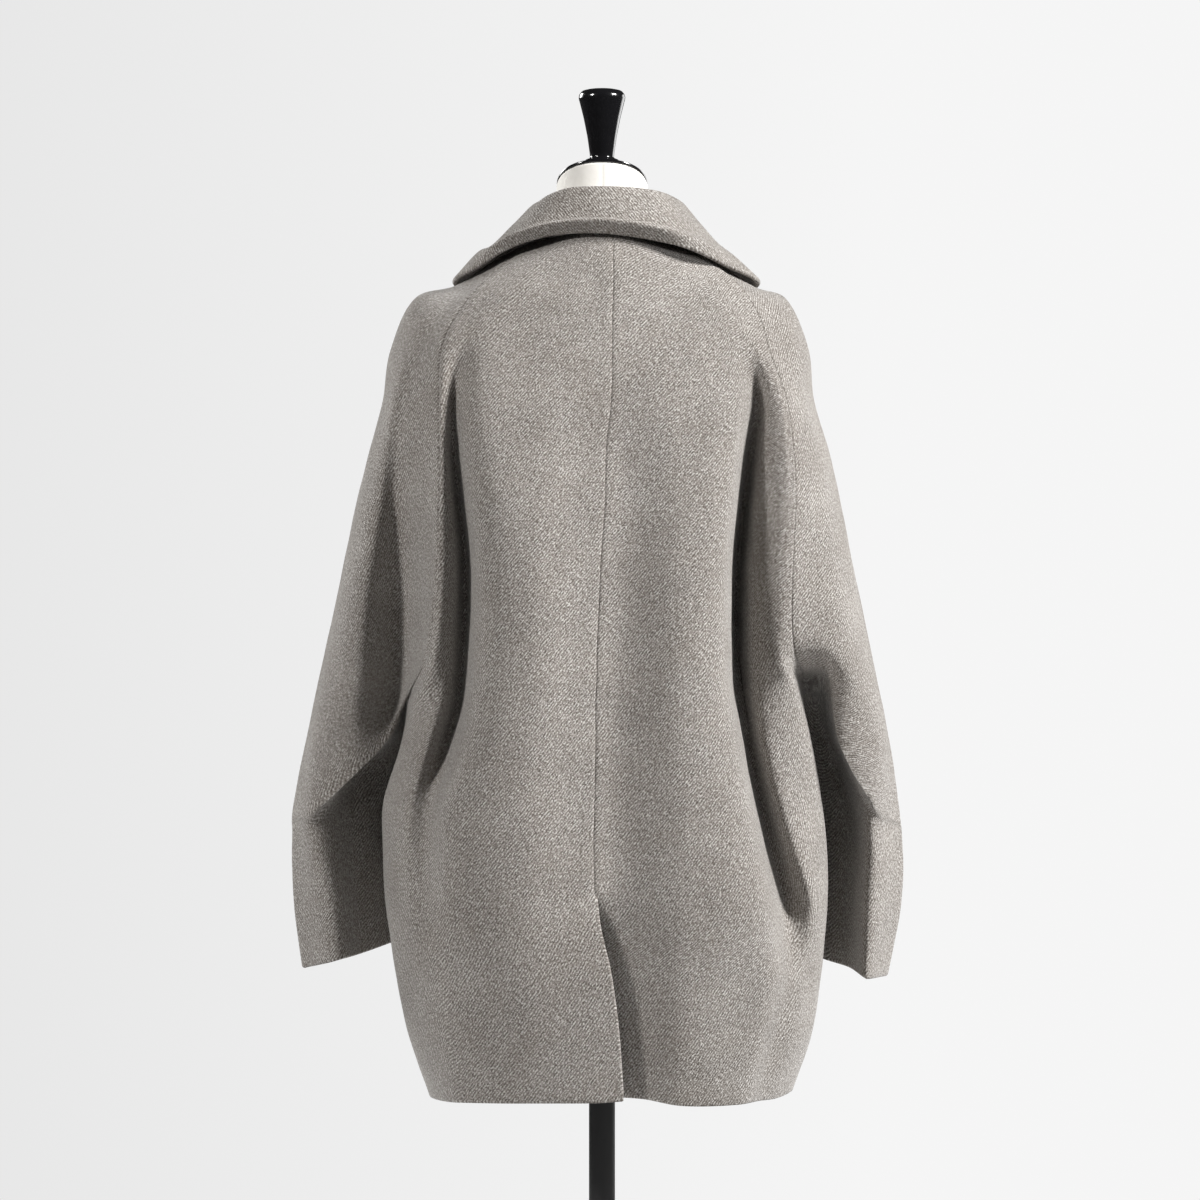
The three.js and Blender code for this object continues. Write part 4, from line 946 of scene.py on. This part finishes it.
# Rows run round the neck from the left front end to the right one, with x, y, z on the stand's foot,
# its top, the crest, the middle of the fall, the dip above the lip, the lip, and the lower edge.
COLLAR = [
    [[47, -39, 1394], [47, -40, 1402], [51, -46, 1405], [70, -66, 1379], [88, -83, 1349], [96, -90, 1336],
     [106, -100, 1316]],
    [[57, -21, 1395], [55, -20, 1414], [60, -24, 1418], [86, -40, 1400], [108, -54, 1377], [118, -60, 1367],
     [134, -70, 1347]],
    [[62, 1, 1397], [60, 1, 1427], [66, 2, 1432], [88, 3, 1413], [112, 3, 1390], [124, 3, 1384],
     [148, 3, 1359]],
    [[56, 20, 1397], [55, 19, 1431], [60, 22, 1435], [82, 30, 1412], [102, 36, 1390], [113, 41, 1386],
     [120, 39, 1371]],
    [[47, 35, 1398], [46, 35, 1435], [52, 41, 1439], [66, 50, 1419], [77, 57, 1402], [86, 61, 1399],
     [87, 53, 1387]],
    [[30, 49, 1401], [29, 49, 1439], [34, 56, 1444], [40, 63, 1426], [45, 68, 1411], [50, 72, 1408],
     [50, 63, 1397]],
    [[0, 56, 1402], [0, 56, 1440], [0, 64, 1445], [0, 70, 1430], [0, 75, 1414], [0, 78, 1411],
     [0, 69, 1399]],
    [[-30, 49, 1401], [-30, 49, 1439], [-36, 56, 1444], [-43, 64, 1426], [-48, 71, 1409], [-52, 74, 1404],
     [-53, 66, 1392]],
    [[-47, 35, 1398], [-48, 35, 1437], [-57, 41, 1442], [-72, 52, 1420], [-83, 59, 1402], [-90, 65, 1394],
     [-92, 66, 1383]],
    [[-56, 20, 1397], [-59, 19, 1433], [-71, 22, 1438], [-91, 30, 1415], [-109, 38, 1392], [-119, 43, 1382],
     [-125, 44, 1370]],
    [[-62, 1, 1397], [-65, 1, 1429], [-77, 3, 1434], [-97, 4, 1414], [-116, 4, 1393], [-134, 4, 1379],
     [-157, 3, 1358]],
    [[-57, -21, 1395], [-57, -20, 1416], [-64, -24, 1421], [-89, -40, 1402], [-112, -55, 1377],
     [-124, -62, 1364], [-139, -71, 1346]],
    [[-47, -39, 1394], [-47, -40, 1402], [-51, -46, 1405], [-70, -66, 1379], [-88, -83, 1349],
     [-96, -90, 1336], [-106, -100, 1316]],
]
collar_rows = np.arange(0, 12.01, 0.08)
collar_columns = np.arange(0, 6.01, 0.06)
collar_grid = surface(COLLAR, collar_rows, collar_columns, {})
collar_out = facing(collar_grid, True)
wide, long = run(collar_grid, 1), run(collar_grid, 0)
centre_back = len(collar_rows) // 2
collar_uv = np.stack([long[centre_back] - long, -wide], -1) * MM
collar_free = {"top": 1, "bottom": 1, "first": 0, "last": 1}
collar = wall("wool_collar", collar_grid, collar_out, True, collar_free, collar_uv,
              COLLAR_CLOTH, COLLAR_EDGE, COLLAR_TURNING)
declare_cloth(collar, "collar", collar_grid)

# ---- Lapels ----
# The upper corners of the wool fronts, turned back on the roll line. Their points are the fronts'
# own, moved out; the left one is cut off where the outer front crosses it.
LAPEL_TOP = 0.85
LAPEL_DROP = 2.35
LAPEL_WIDE = 2.3
LAPEL_LIFT = 3.4
LAPEL_ROLL = 3.0
LAPEL_EDGE = 3.0
LAPEL_TURNING = 8
BREAK_ROW = 6.6
LAPEL_ENDS = {"left": (4.15, 5.3), "right": (BREAK_ROW, BREAK_ROW)}


def on_cloth(panel, row, column, lift):
    """A place on a piece's face, moved out by lift."""
    i = np.interp(row, panel["rows"], np.arange(len(panel["rows"])))
    j = np.interp(column, panel["columns"], np.arange(len(panel["columns"])))
    i0 = np.minimum(i.astype(int), len(panel["rows"]) - 2)
    j0 = np.minimum(j.astype(int), len(panel["columns"]) - 2)
    s, t = (i - i0)[..., None], (j - j0)[..., None]

    def between(field):
        upper = field[i0, j0] * (1 - t) + field[i0, j0 + 1] * t
        lower = field[i0 + 1, j0] * (1 - t) + field[i0 + 1, j0 + 1] * t
        return upper * (1 - s) + lower * s

    out = between(panel["out"])
    out /= np.linalg.norm(out, axis=-1, keepdims=True)
    return between(panel["moved"]) + out * np.asarray(lift)[..., None], out


for side in ("left", "right"):
    panel = panels[f"front_{side}"]
    down, over = np.meshgrid(np.linspace(0, 1, 90), np.linspace(0, 1, 50), indexing="ij")
    first_end, last_end = LAPEL_ENDS[side]
    start = LAPEL_TOP + LAPEL_DROP * over
    section = start + (first_end + (last_end - first_end) * over - start) * down
    tip = LAPEL_TOP + LAPEL_DROP
    share = np.clip((BREAK_ROW - section) / (BREAK_ROW - tip), 0, 1)
    column = (LAPEL_WIDE * share ** 0.75 + 0.12) * over
    lift = LAPEL_LIFT + LAPEL_ROLL * np.sin(math.pi * over) * (1 - down)
    lapel_grid, lapel_out = on_cloth(panel, section, column, lift)
    wide, long = run(lapel_grid, 1), run(lapel_grid, 0)
    sign = -1 if panel["flip"] else 1
    uv = np.stack([wide * sign, -long], -1) * MM
    lapel = wall(f"wool_lapel_{side}", lapel_grid, lapel_out, panel["flip"],
                 {"top": 1, "bottom": 1, "first": 1, "last": 1}, uv, CLOTH, LAPEL_EDGE, LAPEL_TURNING)
    declare_cloth(lapel, f"lapel_{side}", lapel_grid)

# ---- Buttons ----
# Six dark horn buttons in two columns of three, each with a raised rim, a dished middle and four
# holes. They stand on short shanks on the right front.
BUTTON_RADIUS = 15
BUTTON_THICK = 4
BUTTON_RIM = 3
SHANK = 1.8
HOLE_PLACE = 2.5
HOLE_RADIUS = 0.95
BUTTON_ROWS = (7, 9, 13)
BUTTON_COLUMNS = {"left": 0.35, "right": 1.65}
horn = Finish("dark_horn", Roughness=0.3, Coat_Weight=0.3)
veins = horn.speckle(90, 5.0, 0.7)
horn.feed("Base Color", horn.blend(veins, (0.02, 0.014, 0.01), (0.11, 0.085, 0.065)))
horn.feed("Roughness", 0.22 + 0.2 * veins)
horn.relief(veins, 0.0001, 0.3)

dish = BUTTON_RADIUS - BUTTON_RIM
button_profile = rounded([
    (0.5, -SHANK), (3.5, -SHANK), (3.5, 0), (BUTTON_RADIUS - 0.4, 0), (BUTTON_RADIUS, BUTTON_THICK - 0.6),
    (BUTTON_RADIUS - 1.2, BUTTON_THICK), (dish, BUTTON_THICK - 0.2), (dish - 1.6, BUTTON_THICK - 1.4),
    (0.5, BUTTON_THICK - 1.2),
], 0.6)

plain = turned("plain_button", button_profile, horn.material, 64)
for x, y in ((-1, -1), (-1, 1), (1, -1), (1, 1)):
    bit = turned("drill", [(HOLE_RADIUS, -SHANK - 2), (HOLE_RADIUS, BUTTON_THICK + 2)], horn.material, 20)
    bit.data.transform(Matrix.Translation((x * HOLE_PLACE * MM, y * HOLE_PLACE * MM, 0)))
    cut = plain.modifiers.new("hole", "BOOLEAN")
    cut.operation, cut.solver, cut.object = "DIFFERENCE", "EXACT", bit
    bpy.context.view_layer.update()
    cut_mesh = bpy.data.meshes.new_from_object(plain.evaluated_get(bpy.context.evaluated_depsgraph_get()))
    plain.modifiers.remove(cut)
    plain.data = cut_mesh
    bpy.data.objects.remove(bit)

for i, row in enumerate(BUTTON_ROWS):
    for side, column in BUTTON_COLUMNS.items():
        place, out = on_cloth(panels["front_right"], np.array([row]), np.array([column]), [SHANK + 0.4])
        pose = Vector(out[0]).to_track_quat("Z", "Y").to_matrix().to_4x4()
        pose.translation = Vector(place[0]) * MM
        button = bpy.data.objects.new(f"horn_button_{i + 1}_{side}", plain.data.copy())
        scene.collection.objects.link(button)
        button.data.transform(pose)
        stands_for(button, f"button_{i + 1}_{side}")
bpy.data.objects.remove(plain)

# ---- Floor ----
# A wide round floor in matt pale grey, just below the base. It is part of the stage only.
FLOOR_RADIUS = 2.4
FLOOR_THICK = 0.01
FLOOR_GAP = 0.0002
bpy.ops.mesh.primitive_cylinder_add(vertices=128, radius=FLOOR_RADIUS, depth=FLOOR_THICK,
                                    location=(0, 0, -FLOOR_THICK / 2 - FLOOR_GAP))
floor = bpy.context.object
floor.name = "floor"
pale = Finish("pale_floor", Base_Color=(0.52, 0.52, 0.52), Roughness=0.8)
floor.data.materials.append(pale.material)
